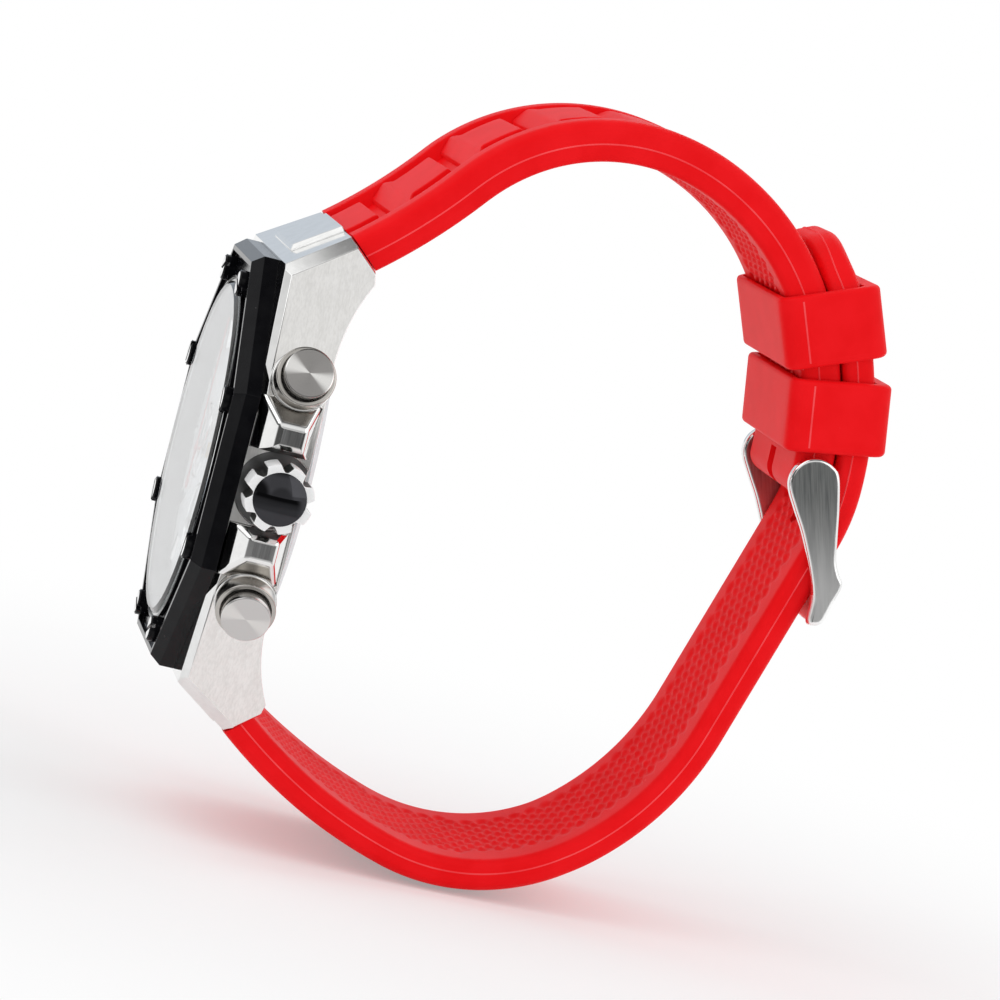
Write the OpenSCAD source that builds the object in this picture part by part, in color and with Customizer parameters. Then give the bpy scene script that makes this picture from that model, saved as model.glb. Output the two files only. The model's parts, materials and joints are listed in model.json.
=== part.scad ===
// Analog chronograph wristwatch with an octagonal bezel and a buckled silicone strap.
// The dial faces -Y, the crown +X and twelve o'clock +Z. The origin is the centre
// of the case back's outer face. Millimetres.

/* [Case] */
// Width of the case from nine to three o'clock, without the crown
case_w = 41; // [40.6:0.1:43]
// Length of the case over the lug ends
case_l = 52.2; // [51.8:0.1:54]
// Width of the case across a lug end
lug_w = 28.6; // [28.2:0.1:30]
// Depth of the case from its back plane to the bezel
case_depth = 6.7; // [6.5:0.05:7.2]
// How far the case back stands proud of the case
back_proud = 1.0; // [0.8:0.05:1.3]
// Radius of the chamber that holds the movement
chamber_r = 16.4; // [16:0.05:16.6]
// Width of the polished chamfers of the case
case_chamfer = 0.7; // [0.3:0.05:1]
// Radius of the wrist curve under the lugs
wrist_r = 19.7; // [17:0.1:24]

/* [Bezel and crystal] */
// Width of the octagonal bezel across its flats
bezel_flats = 43.5; // [43:0.1:45]
// Height of the bezel's upright wall
bezel_wall = 1.5; // [1.2:0.05:2]
// Height of the bezel's sloping rim
bezel_slope = 1.15; // [0.9:0.05:1.4]
// Radius of the crystal
crystal_r = 17.75; // [17.5:0.05:17.9]
// Thickness of the crystal
crystal_t = 1.85; // [1.5:0.05:2.2]
// Radius of a bezel screw's head
screw_head_r = 1.35; // [1.1:0.05:1.4]
// Height of a bezel screw's head
screw_head_h = 1.25; // [0.9:0.05:1.4]

/* [Crown and pushers] */
// Outer radius of the crown over its teeth
crown_r = 3.5; // [3.2:0.05:3.7]
// Length of the crown
crown_l = 4.4; // [4:0.05:4.7]
// Number of crown teeth
crown_teeth = 8; // [6:1:12]
// How far the crown pulls out to set the hands
crown_pull = 1.0; // [0.6:0.05:1.2]
// Angle of a pusher from the crown's axis
pusher_angle = 20; // [18:0.5:21]
// Distance of a pusher's foot from the crown's axis
pusher_y = 11.2; // [10.9:0.05:11.6]
// Radius of a pusher's cap
pusher_r = 2.5; // [2.3:0.05:2.6]
// Travel of a pusher
pusher_travel = 1.1; // [0.7:0.05:1.2]

/* [Dial and hands] */
// Radius of a small dial
small_dial_r = 4.1; // [3.5:0.05:4.3]
// Distance of a small dial from the centre
small_dial_x = 7.6; // [7.2:0.05:8]
// Length of the hour hand
hour_hand_l = 9; // [7:0.1:11]
// Length of the minute hand
minute_hand_l = 13; // [11:0.1:14]
// Length of the long seconds hand
seconds_hand_l = 14; // [12:0.1:14.6]

/* [Strap] */
// Length of the short half's rise from the lug
rise_l = 13.2; // [13:0.1:13.4]
// Length of the short half's bend over the wrist
bend_l = 26.1; // [25.8:0.1:26.4]
// Length of the short half's fall towards the buckle
fall_l = 25.8; // [25.5:0.1:26.1]
// Length of the long half's rise from the lug
lower_rise_l = 22.5; // [22.2:0.1:22.8]
// Length of the long half's first bend
lower_bend_l = 23.8; // [23.5:0.1:24.1]
// Height under the case at which the strap starts to narrow
taper_low = 9; // [7:0.5:11]
// Height over which the strap narrows
taper_h = 30; // [28:0.5:32]
// Width of the strap where it meets the case
strap_w = 28; // [27:0.1:28.4]
// Width of the strap at the buckle
strap_tip_w = 21; // [19:0.1:22]
// Thickness of the short half of the strap
short_t = 4.3; // [4:0.05:4.5]
// Thickness of the long half of the strap
long_t = 3.4; // [3:0.05:3.5]
// Depth of the channel between the rails
channel_d = 1.7; // [1:0.05:2]
// Width of a rail beside the channel
rail_w = 3.5; // [2.5:0.05:4]
// Length of a raised link
link_l = 7.3; // [5:0.1:7.5]
// Width of a raised link
link_w = 14; // [10:0.1:15]
// Spacing of the raised links along the strap
link_pitch = 8.7; // [8.4:0.1:11]
// Spacing of the buckle holes along the strap
hole_pitch = 6.4; // [6:0.1:8]
// Width of a buckle hole
hole_w = 2.6; // [2.5:0.05:3]

/* [Buckle and keepers] */
// Thickness of a buckle cheek
cheek_t = 1.3; // [1:0.05:1.5]
// Radius of the round head of a cheek
cheek_r = 2.75; // [2.3:0.05:2.8]
// Length of a cheek from the bar to its far end
cheek_l = 14.55; // [14.3:0.05:14.8]
// Width of the buckle's tongue
tongue_w = 1.9; // [1.5:0.05:2]
// Length of a keeper along the strap
keeper_l = 7.6; // [6:0.1:7.8]
// Wall of a keeper
keeper_t = 1.25; // [1:0.05:1.4]

/* [Hidden] */

// Smooth facets for previews
$fn = 72;
// Overlap that makes cuts clean
eps = 0.01;
// Gap between a soft piece and its neighbour
soft_gap = 0.15;
// Radial clearance of a running fit
fit = 0.05;

// Heights above the case back's outer face
case_z = back_proud;
case_top = case_z + case_depth;
ridge_z = case_top + bezel_wall;
bezel_top = ridge_z + bezel_slope;
pocket_z = bezel_top - 0.5;
glass_z = case_top + 1.2;
back_seat = case_z + 0.7;
dial_top = case_top - 0.8;
dial_t = 0.4;
dial_z = dial_top - dial_t;
plate_z = dial_z - 0.6;
plate_t = 1.0;
plate_under = plate_z - plate_t;

// Quarter turn, from a heading to the direction square to it
quarter = 90;

// Bezel
bezel_a = bezel_flats / 2;
corner = 1 / cos(22.5);
bezel_slope_w = 0.87;
gasket_t = 0.3;
glass_bore = crystal_r + gasket_t + 0.04;
lip_r = glass_bore + 0.35;
rehaut_r = crystal_r - 0.45;
screw_count = 8;
screw_ring = bezel_a - 1.85;
screw_r = 0.55;
screw_l = 4.4;

// Case outline
side_y = 9;
lug_y = case_l / 2;
lug_x = lug_w / 2;
lug_z = case_z + 0.7;
side_dir = [lug_x - case_w / 2, lug_y - side_y] / norm([lug_x - case_w / 2, lug_y - side_y]);
side_n = [side_dir.y, -side_dir.x, 0];
slope_y = bezel_a + 0.25;
slope_n = [0, case_top - lug_z, lug_y - slope_y] / norm([case_top - lug_z, lug_y - slope_y]);
end_y = lug_y - 2.7;
end_z = lug_z - 3;
end_n = [0, lug_z - end_z, end_y - lug_y] / norm([lug_z - end_z, end_y - lug_y]);
wrist_y = 12.5;

// Lug bar and the strap's end eye
eye_r = 1.35;
eye_w = 18;
slot_r = eye_r + 0.12;
lug_bar_l = eye_w + 4.4;
strap_angle = 51;
strap_out = [cos(strap_angle), -sin(strap_angle)];
lug_mid = [(lug_y + end_y) / 2, (lug_z + end_z) / 2];
lug_bar = lug_mid - 2.3 * strap_out;

// Crown
axis_z = case_z + 2.9;
crown_x = case_w / 2 + 1;
crown_root = crown_r - 0.58;
crown_bore = 2.0;
crown_bore_l = 3;
tube_r = 1.15;
tube_end = crown_x + crown_bore_l - 0.2;
gasket_l = 0.6;
stem_r = 0.6;
stem_in_crown = 0.5;
stem_in = 8.6;
pocket_r = crown_r + 0.5;
pocket_x = case_w / 2 - 0.5;
dome_r = 2.72;
guard_x = case_w / 2 + 2.4;

// Pushers, measured outwards from the foot on the case's side
foot_x = case_w / 2 - (pusher_y - side_y) * (case_w / 2 - lug_x) / (lug_y - side_y);
boss_r = pusher_r + 0.6;
boss_u = 1.15;
collar_r = pusher_r + 0.55;
collar_top = boss_u + 1.8;
well_floor = boss_u + 0.35;
cap_top = collar_top + 1.6;
cap_low = well_floor + pusher_travel + 0.1;
cap_roof = 0.7;
shaft_r = 0.75;
sleeve_r = 1.5;
sleeve_in = 4.2;
shaft_in = sleeve_in + 2.4;
clip_u = -sleeve_in - 0.1;
spring_wire = 0.24;
spring_turns = 3;

// Hands, heights of their undersides
small_hand_z = dial_top + 0.22;
hour_hand_z = dial_top + 0.5;
minute_hand_z = dial_top + 0.95;
seconds_hand_z = dial_top + 1.4;
hand_t = 0.14;
hour_tube_r = 0.85;
cannon_r = 0.5;
arbor_r = 0.2;
small_arbor_r = 0.18;
// Ten past ten, read clockwise from twelve, and the 24-hour hand to match
hour_angle = -305;
minute_angle = -60;
day_angle = -152;
// Centres of the small dials: three, six and nine o'clock
small_dials = [[small_dial_x, 0], [0, -small_dial_x], [-small_dial_x, 0]];

// Gears between the dial and the plate: cannon to motion wheel 3 to 1, its leaf to the hour wheel 4 to 1
wheel_t = 0.25;
cannon_teeth = 10;
motion_teeth = 30;
leaf_teeth = 10;
hour_teeth = 40;
gear_m = 0.15;
motion_at = [0, (cannon_teeth + motion_teeth) * gear_m / 2];
hour_m = 2 * motion_at.y / (leaf_teeth + hour_teeth);
motion_z = plate_z + 0.02;
wheel_z = motion_z + wheel_t + 0.03;
motion_pin_r = 0.2;

// Movement
plate_r = 14;
holder_r = chamber_r - 0.1;
bridge_z = back_seat + 2;
bridge_t = 0.5;
board_z = back_seat + 1.2;
battery_r = 4.75;
battery_at = [-6.6, -5.8];
battery_z = back_seat + 0.65;
battery_t = 2.05;
posts = [[10.5, 6.5], [-11.5, 3.5], [3, -12], [-2, 12]];
rotor_at = [8.4, -5.6];
coil_at = [3.9, 8.4];
quartz_at = [-6.48, 6.95];

// Strap outlines from a lug to the buckle, along the outer face with the wrist on the right:
// runs of [length, radius], a left turn positive and zero for a straight
upper_arcs = [[rise_l, 59.4], [bend_l, -24.1], [fall_l, -27.4]];
lower_arcs = [[lower_rise_l, -57.5], [lower_bend_l, -23.9]];
lower_bend_r = 32.4;
knee_r = 22;
lead_in = 2;
strap_start = [lug_y - 0.1, lug_z + 0.3];
taper_top = case_z - taper_low;
taper_end = taper_top - taper_h;
strap_low = -70;
// Shared curve of both halves at the buckle
wrap_r = 38.3;
wrap_l = 16.8;
bar_eye_r = 2.1;
tail_gap = 0.2;
tail_r = wrap_r + tail_gap + long_t;
tail_l = 27.4;
tail_corner_r = 8;

// Links and holes, as distances along the outer face
first_link_l = 3.6;
first_link_at = lead_in + 0.5;
links_at = first_link_at + first_link_l + 1.4;
link_count = 6;
channel_l = links_at + link_count * link_pitch;
link_low = 0.1;
link_nose = 2;
bend_step = 3;
hole_l = 4.5;
tongue_hole = 4.15;
holes_before = 0;
holes_after = 4;

// Lug bars, buckle and keepers
bar_r = 0.75;
buckle_bar_r = 0.65;
pin_r = 0.4;
pin_in = 0.85;
buckle_in = strap_tip_w / 2 + 0.45;
buckle_out = buckle_in + cheek_t;
bar_gap = tongue_w + 0.5;
tongue_ring_r = 1.45;
keeper_in_w = strap_tip_w / 2 + 0.2;
keeper_corner_r = 1.1;
keeper_low_turn = 11;
keeper_pitch_turn = 14.4;
keeper_low_tilt = -2;
keeper_top_tilt = -4;
keeper_under = 0.35;
keeper_over = 0.15;

// Places a shape drawn with the dial facing +Z into the watch's own frame
module head() {
    rotate([90, 0, 0]) children();
}

// Draws a side view: first axis towards twelve, second towards the dial, extruded along the crown axis
module side_view() {
    rotate([90, 0, 90]) children();
}

// Straight prism of a side view outline, centred on the middle of the watch
module side_prism(width) {
    side_view() translate([0, 0, -width / 2]) linear_extrude(width) children();
}

module four_corners() {
    for (mx = [0, 1]) mirror([mx, 0, 0])
        for (my = [0, 1]) mirror([0, my, 0]) children();
}

module both_ends() {
    for (my = [0, 1]) mirror([0, my, 0]) children();
}

module octagon(apothem, height) {
    rotate([0, 0, 22.5]) cylinder(r = apothem * corner, h = height, $fn = 8);
}

module ring(outer, inner, height) {
    difference() {
        cylinder(r = outer, h = height);
        translate([0, 0, -eps]) cylinder(r = inner, h = height + 2 * eps);
    }
}

function unit(v) = v / norm(v);

// Cuts the edge from p to q between faces with normals n1 and n2, depth below the edge
module edge_cut(p, q, n1, n2, depth) {
    u = unit(q - p);
    w = unit(n1 + n2);
    v = cross(w, u);
    at = (p + q) / 2 - w * depth;
    reach = norm(q - p) / 2 + 6;
    multmatrix([[u.x, v.x, w.x, at.x], [u.y, v.y, w.y, at.y], [u.z, v.z, w.z, at.z], [0, 0, 0, 1]])
        translate([-reach, -5, 0]) cube([2 * reach, 10, 6]);
}

// Case

module case_outline() {
    x = case_w / 2;
    polygon([[x, -side_y], [x, side_y], [lug_x, lug_y], [-lug_x, lug_y],
        [-x, side_y], [-x, -side_y], [-lug_x, -lug_y], [lug_x, -lug_y]]);
}

module case_profile() {
    low_y = end_y - 1.3;
    polygon([[low_y, end_z - 0.2], [end_y, end_z], [lug_y, lug_z], [slope_y, case_top],
        [-slope_y, case_top], [-lug_y, lug_z], [-end_y, end_z], [-low_y, end_z - 0.2]]);
}

module case_blank() {
    difference() {
        intersection() {
            translate([0, 0, -4]) linear_extrude(20) case_outline();
            side_prism(case_w + 2) case_profile();
        }
        // wrist curve under the lugs
        both_ends() translate([0, wrist_y, case_z - wrist_r]) rotate([0, 90, 0])
            cylinder(r = wrist_r, h = case_w + 4, center = true, $fn = 180);
        translate([-case_w, -wrist_y, case_z - 6]) cube([2 * case_w, 2 * wrist_y, 6]);
        case_chamfers();
    }
}

// Polished chamfers between the front slope, the top, the wrist side and the brushed flanks
module case_chamfers() {
    top_y = slope_y;
    lean = (case_w / 2 - lug_x) / (lug_y - side_y);
    x_at_slope = case_w / 2 - (slope_y - side_y) * lean;
    x_at_end = lug_x + (lug_y - end_y) * lean;
    four_corners() {
        edge_cut([x_at_slope, slope_y, case_top], [lug_x, lug_y, lug_z], side_n, slope_n, case_chamfer);
        edge_cut([case_w / 2, side_y, case_top], [x_at_slope, top_y, case_top],
            side_n, [0, 0, 1], case_chamfer * 0.7);
        edge_cut([lug_x, lug_y, lug_z], [x_at_end, end_y, end_z], side_n, end_n, case_chamfer * 0.15);
    }
    mirror([1, 0, 0]) edge_cut([case_w / 2, -side_y, case_top], [case_w / 2, side_y, case_top],
        [1, 0, 0], [0, 0, 1], case_chamfer * 0.7);
}

// Raised link on the sloping front of each lug
module lug_link() {
    run_y = lug_y - slope_y;
    run_z = case_top - lug_z;
    length = norm([run_y, run_z]);
    tilt = atan2(run_z, run_y);
    both_ends() translate([0, slope_y, case_top]) rotate([-tilt, 0, 0])
        rotate([90, 0, 90]) translate([0, 0, -7.4]) intersection() {
            linear_extrude(14.8) polygon([[1.4, -0.4], [1.4, 0.1], [1.9, 0.55],
                [length, 0.55], [length, -0.4]]);
            rotate([0, 90, 0]) linear_extrude(length + 2)
                polygon([[0, -1], [-14.8, -1], [-14.8, 0.05], [-14.2, 0.6], [-0.6, 0.6], [0, 0.05]]);
        }
}

// Slot and bar hole that take one half of the strap
module lug_slot() {
    both_ends() {
        side_prism(eye_w + 0.3) {
            translate(lug_bar) circle(r = slot_r);
            translate(lug_bar) rotate(-strap_angle) translate([0, -slot_r]) square([8, 2 * slot_r]);
        }
        side_prism(lug_bar_l + 0.2) translate(lug_bar) circle(r = bar_r + fit);
    }
}

// Shoulder between the crown and a pusher: a block whose four sides lean in to a small flat
module crown_guard() {
    low = crown_r + 0.42;
    high = low + 5.4;
    x0 = case_w / 2 - 2;
    z0 = case_z + 0.4;
    z1 = case_top - 0.3;
    both_ends() intersection() {
        translate([0, 0, z0]) linear_extrude(z1 - z0)
            polygon([[x0, low], [case_w / 2 + 1, low], [guard_x, low + 0.75], [guard_x, low + 3.1],
                [case_w / 2 + 0.4, high], [x0, high]]);
        translate([0, high, 0]) rotate([90, 0, 0]) linear_extrude(high - low)
            polygon([[x0, z0], [case_w / 2 + 0.3, z0], [guard_x, axis_z - 1.5], [guard_x, axis_z + 1.4],
                [case_w / 2 + 0.3, z1], [x0, z1]]);
    }
}

module pusher_axis(side) {
    translate([foot_x, side * pusher_y, axis_z]) rotate([0, 90, side * pusher_angle]) children();
}

module pusher_boss() {
    for (side = [-1, 1]) pusher_axis(side) translate([0, 0, -2.6]) {
        cylinder(r = boss_r, h = boss_u + 2.35);
        translate([0, 0, boss_u + 2.35 - eps]) cylinder(r1 = boss_r, r2 = boss_r - 0.25, h = 0.25 + eps);
    }
}

module movement_space() {
    translate([0, 0, back_seat - eps]) cylinder(r = chamber_r, h = dial_top - back_seat + 2 * eps);
    translate([0, 0, dial_top]) cylinder(r = rehaut_r + fit, h = 3);
    translate([0, 0, -5]) cylinder(r = chamber_r + 2.6, h = 5 + back_seat);
}

module crown_hole() {
    translate([chamber_r - 3, 0, axis_z]) rotate([0, 90, 0]) cylinder(r = tube_r, h = 12);
    // round pocket behind the crown
    translate([pocket_x, 0, axis_z]) rotate([0, 90, 0]) cylinder(r = pocket_r, h = 8);
}

module pusher_holes() {
    for (side = [-1, 1]) pusher_axis(side) translate([0, 0, -8]) cylinder(r = sleeve_r, h = 12);
}

module screw_places() {
    for (i = [0:screw_count - 1]) rotate([0, 0, (i + 0.5) * 360 / screw_count])
        translate([screw_ring, 0, 0]) children();
}

module back_screw_places() {
    for (i = [0:3]) rotate([0, 0, 45 + i * 90]) translate([chamber_r + 1.3, 0, 0]) children();
}

module case_middle() {
    color([0.78, 0.78, 0.77]) difference() {
        union() {
            case_blank();
            lug_link();
            crown_guard();
            pusher_boss();
        }
        movement_space();
        lug_slot();
        crown_hole();
        pusher_holes();
        translate([0, 0, pocket_z - screw_l - 0.2]) screw_places()
            cylinder(r = screw_r + fit, h = screw_l + 1);
        translate([0, 0, back_seat - eps]) back_screw_places() cylinder(r = 0.45, h = 2);
    }
}

// What the eight sloping flats take off the octagonal block
module bezel_slopes() {
    inner = bezel_a - bezel_slope_w;
    for (i = [0:7]) rotate([90, 0, i * 45]) linear_extrude(2 * bezel_a, center = true)
        polygon([[inner, bezel_top], [bezel_a, ridge_z], [bezel_a + 1, ridge_z],
            [bezel_a + 1, bezel_top + 1], [inner, bezel_top + 1]]);
}

module bezel() {
    color([0.06, 0.06, 0.065]) difference() {
        translate([0, 0, case_top]) octagon(bezel_a, bezel_top - case_top);
        bezel_slopes();
        translate([0, 0, case_top - 1]) cylinder(r = rehaut_r + fit, h = 6);
        translate([0, 0, glass_z]) cylinder(r = glass_bore, h = 6);
        // pocket round the crystal, with a round lip inside and straight walls outside
        difference() {
            translate([0, 0, pocket_z]) octagon(bezel_a - 1.45, 3);
            translate([0, 0, pocket_z - 1]) cylinder(r = lip_r, h = 5);
        }
        translate([0, 0, case_top - 1]) screw_places() cylinder(r = screw_r + fit, h = 6);
    }
}

module bezel_screws() {
    slot_w = 0.42;
    color([0.7, 0.7, 0.72]) translate([0, 0, pocket_z]) screw_places() difference() {
        union() {
            cylinder(r = screw_head_r, h = screw_head_h - 0.15);
            translate([0, 0, screw_head_h - 0.15 - eps])
                cylinder(r1 = screw_head_r, r2 = screw_head_r - 0.15, h = 0.15 + eps);
            translate([0, 0, -screw_l]) cylinder(r = screw_r, h = screw_l + eps);
        }
        translate([-slot_w / 2, -2, screw_head_h - 0.5]) cube([slot_w, 4, 1]);
    }
}

module crystal() {
    bevel = 0.35;
    color([0.85, 0.92, 0.95, 0.35]) translate([0, 0, glass_z]) rotate_extrude($fn = 180)
        polygon([[0, 0], [crystal_r, 0], [crystal_r, crystal_t - bevel],
            [crystal_r - bevel, crystal_t], [0, crystal_t]]);
}

module crystal_gasket() {
    color([0.9, 0.9, 0.88]) translate([0, 0, glass_z])
        ring(crystal_r + gasket_t, crystal_r + 0.02, crystal_t - 0.6);
}

module rehaut() {
    height = glass_z - dial_top - 0.02;
    color([0.12, 0.14, 0.15]) translate([0, 0, dial_top]) rotate_extrude($fn = 180)
        polygon([[chamber_r - 0.8, 0], [rehaut_r, 0], [rehaut_r, height], [rehaut_r - 0.4, height]]);
}

module dial() {
    color([0.93, 0.94, 0.95]) difference() {
        translate([0, 0, dial_z]) cylinder(r = chamber_r - 0.1, h = dial_t, $fn = 180);
        translate([0, 0, dial_z - 1]) cylinder(r = hour_tube_r + 0.15, h = 3);
        for (c = small_dials) translate([c.x, c.y, 0]) {
            translate([0, 0, dial_z - 1]) cylinder(r = small_arbor_r + 0.15, h = 3);
            translate([0, 0, dial_top - 0.12]) cylinder(r = small_dial_r - 0.3, h = 1);
        }
    }
}

module small_dial_rings() {
    color([0.75, 0.76, 0.78]) for (c = small_dials) translate([c.x, c.y, dial_top])
        rotate_extrude() translate([small_dial_r - 0.28, 0])
            polygon([[0, 0], [0.28, 0], [0.2, 0.14], [0.08, 0.14]]);
}

// One applied bar with bevelled long sides
module marker(length, width) {
    translate([chamber_r - 1.5 - length, 0, 0]) rotate([90, 0, 90]) linear_extrude(length)
        polygon([[-width / 2, 0], [width / 2, 0], [width / 2 - 0.2, 0.3], [0.2 - width / 2, 0.3]]);
}

module hour_markers() {
    color([0.8, 0.8, 0.82]) translate([0, 0, dial_top]) {
        for (h = [1, 2, 4, 5, 7, 8, 10, 11]) rotate([0, 0, 90 - 30 * h]) marker(3.2, 1.1);
        for (offset = [-0.75, 0.75]) rotate([0, 0, 90]) translate([0, offset, 0]) marker(3.2, 1.0);
        for (h = [3, 6, 9]) rotate([0, 0, 90 - 30 * h]) marker(1.3, 1.1);
    }
}

module case_back() {
    outer = chamber_r + 2.5;
    spigot = chamber_r - 0.45;
    color([0.74, 0.74, 0.74]) difference() {
        rotate_extrude($fn = 180) polygon([[0, 0], [outer - 0.9, 0], [outer, 0.5], [outer, back_seat],
            [spigot, back_seat], [spigot, back_seat + 0.6], [0, back_seat + 0.6]]);
        translate([0, 0, 1]) cylinder(r = spigot - 0.9, h = 4);
        back_screw_places() {
            translate([0, 0, -1]) cylinder(r = 0.5, h = 4);
            translate([0, 0, -eps]) cylinder(r = 0.95, h = 0.7);
        }
    }
}

module case_back_gasket() {
    color([0.08, 0.08, 0.08]) translate([0, 0, back_seat])
        ring(chamber_r - 0.04, chamber_r - 0.42, 0.55);
}

module case_back_screws() {
    color([0.72, 0.72, 0.73]) back_screw_places() difference() {
        union() {
            translate([0, 0, 0.12]) cylinder(r = 0.9, h = 0.56);
            translate([0, 0, 0.5]) cylinder(r = 0.42, h = back_seat + 1.2);
        }
        translate([-0.12, -1, 0]) cube([0.24, 2, 0.35]);
    }
}

// Crown, drawn outwards along +Z from the inner end of the knurled head

module crown_axis(from) {
    translate([from, 0, axis_z]) rotate([0, 90, 0]) children();
}

module crown_head() {
    gap = 180 / crown_teeth;
    difference() {
        rotate_extrude() polygon([[0, 0], [crown_root, 0], [crown_r, 0.7], [crown_r, crown_l - 0.7],
            [crown_r - 0.35, crown_l - 0.3], [dome_r, crown_l], [0, crown_l]]);
        // notches between the teeth, with round bottoms
        for (i = [0:crown_teeth - 1]) rotate([0, 0, (i + 0.5) * 2 * gap]) {
            translate([crown_root + 0.45, 0, -1]) cylinder(r = 0.62, h = crown_l + 2);
            translate([0, 0, -1]) linear_extrude(crown_l + 2)
                polygon([[crown_root + 0.3, -0.6], [crown_root + 2, -0.95],
                    [crown_root + 2, 0.95], [crown_root + 0.3, 0.6]]);
        }
        translate([0, 0, -eps]) cylinder(r = crown_bore, h = crown_bore_l + eps);
        cylinder(r = stem_r, h = crown_bore_l + stem_in_crown);
        translate([0, 0, crown_l - 0.45]) cylinder(r = dome_r - 0.35, h = 1);
    }
}

module crown() {
    color([0.8, 0.8, 0.8]) crown_axis(crown_x) crown_head();
}

module crown_cap() {
    rise = 0.75;
    ball = (dome_r * dome_r + rise * rise) / (2 * rise);
    color([0.03, 0.03, 0.03]) crown_axis(crown_x + crown_l) {
        intersection() {
            translate([0, 0, rise - ball]) sphere(r = ball, $fn = 96);
            cylinder(r = dome_r - 0.02, h = 2);
        }
        translate([0, 0, -0.43]) cylinder(r = dome_r - 0.37, h = 0.43 + eps);
    }
}

module crown_tube() {
    inner = chamber_r - 0.3;
    color([0.7, 0.7, 0.7]) crown_axis(inner) difference() {
        union() {
            cylinder(r = tube_r, h = tube_end - inner);
            translate([0, 0, pocket_x - inner]) cylinder(r = tube_r + 0.5, h = 0.3);
        }
        translate([0, 0, -1]) cylinder(r = stem_r + fit, h = 12);
    }
}

// Seal that the crown slides on, fixed round the tube's outer end
module crown_gasket() {
    color([0.05, 0.05, 0.05]) crown_axis(tube_end - crown_pull - gasket_l - 0.1)
        ring(crown_bore - 0.02, tube_r + 0.02, gasket_l);
}

module winding_stem() {
    out = crown_x + crown_bore_l + stem_in_crown - 0.02;
    thin_l = 4.2;
    color([0.75, 0.75, 0.77]) crown_axis(stem_in) difference() {
        union() {
            cylinder(r = 0.45, h = thin_l);
            translate([0, 0, thin_l - eps]) cylinder(r = stem_r, h = out - stem_in - thin_l + eps);
        }
        translate([0, 0, thin_l + 0.4]) ring(1, 0.42, 0.35);
    }
}

module clutch_wheel() {
    color([0.7, 0.6, 0.35]) crown_axis(stem_in + 0.6) difference() {
        cylinder(r = 1.05, h = 1.6);
        translate([0, 0, -1]) cylinder(r = 0.45, h = 4);
        for (i = [0:11]) rotate([0, 0, i * 30]) translate([1.1, 0, -1]) cylinder(r = 0.16, h = 4);
    }
}

// Pushers, drawn outwards along +Z from the foot on the case's side

module pusher(side) {
    color([0.72, 0.72, 0.71]) pusher_axis(side) {
        rotate_extrude() polygon([[0, cap_top - cap_roof], [pusher_r - 0.45, cap_top - cap_roof],
            [pusher_r - 0.45, cap_low], [pusher_r, cap_low], [pusher_r, cap_top - 0.2],
            [pusher_r - 0.2, cap_top], [0, cap_top]]);
        difference() {
            translate([0, 0, -shaft_in]) cylinder(r = shaft_r, h = shaft_in + cap_top - cap_roof + eps);
            translate([0, 0, clip_u - 0.3]) ring(2, 0.5, 0.3);
        }
    }
}

module pusher_tube(side) {
    color([0.76, 0.76, 0.75]) pusher_axis(side) difference() {
        union() {
            translate([0, 0, -sleeve_in]) cylinder(r = sleeve_r, h = sleeve_in + boss_u + eps);
            translate([0, 0, boss_u]) rotate_extrude() polygon([[0, 0], [collar_r, 0],
                [collar_r, collar_top - boss_u - 0.2], [collar_r - 0.2, collar_top - boss_u],
                [0, collar_top - boss_u]]);
        }
        translate([0, 0, -sleeve_in - 1]) cylinder(r = shaft_r + fit, h = 12);
        translate([0, 0, well_floor]) cylinder(r = pusher_r + fit, h = 5);
    }
}

// Return spring as it lies when the pusher is home against its stop
module pusher_spring(side) {
    mean = 1.3;
    sides = 6;
    steps = 14;
    wire = spring_wire / 2;
    // the turns fit the space that the pressed cap leaves
    room = cap_top - cap_roof - pusher_travel - well_floor;
    rise = (room - spring_wire - 0.1) / spring_turns;
    count = spring_turns * steps;
    points = [for (i = [0:count]) for (k = [0:sides - 1])
        let (a = i * 360 / steps, b = k * 360 / sides, r = mean + wire * cos(b))
            [r * cos(a), r * sin(a), wire + i * rise / steps + wire * sin(b)]];
    faces = concat(
        [for (i = [0:count - 1]) for (k = [0:sides - 1]) let (n = (k + 1) % sides)
            [i * sides + k, i * sides + n, (i + 1) * sides + n, (i + 1) * sides + k]],
        [[for (k = [0:sides - 1]) sides - 1 - k]],
        [[for (k = [0:sides - 1]) count * sides + k]]);
    color([0.6, 0.6, 0.62]) pusher_axis(side) translate([0, 0, well_floor]) polyhedron(points, faces);
}

module pusher_clip(side) {
    color([0.5, 0.5, 0.5]) pusher_axis(side) translate([0, 0, clip_u - 0.26]) difference() {
        cylinder(r = 1.25, h = 0.22);
        translate([0, 0, -1]) cylinder(r = 0.5, h = 3);
        translate([0.1, -0.42, -1]) cube([3, 0.84, 3]);
    }
}

// Movement

module stem_and_pusher_room(extra) {
    crown_axis(stem_in - 4) cylinder(r = tube_r + extra, h = chamber_r);
    for (side = [-1, 1]) pusher_axis(side) translate([0, 0, -shaft_in - 2])
        cylinder(r = sleeve_r + extra, h = shaft_in + 4);
}

module movement_holder() {
    color([0.85, 0.85, 0.82]) difference() {
        translate([0, 0, back_seat + 0.7]) ring(holder_r, plate_r + 0.05, dial_z - back_seat - 0.72);
        stem_and_pusher_room(0.15);
        for (i = [0:5]) rotate([0, 0, 30 + i * 60]) translate([holder_r, 0, 0]) cylinder(r = 0.9, h = 10);
    }
}

module battery_space(extra) {
    translate([battery_at.x, battery_at.y, battery_z - 1])
        cylinder(r = battery_r + extra, h = battery_t + 1.25);
}

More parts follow.
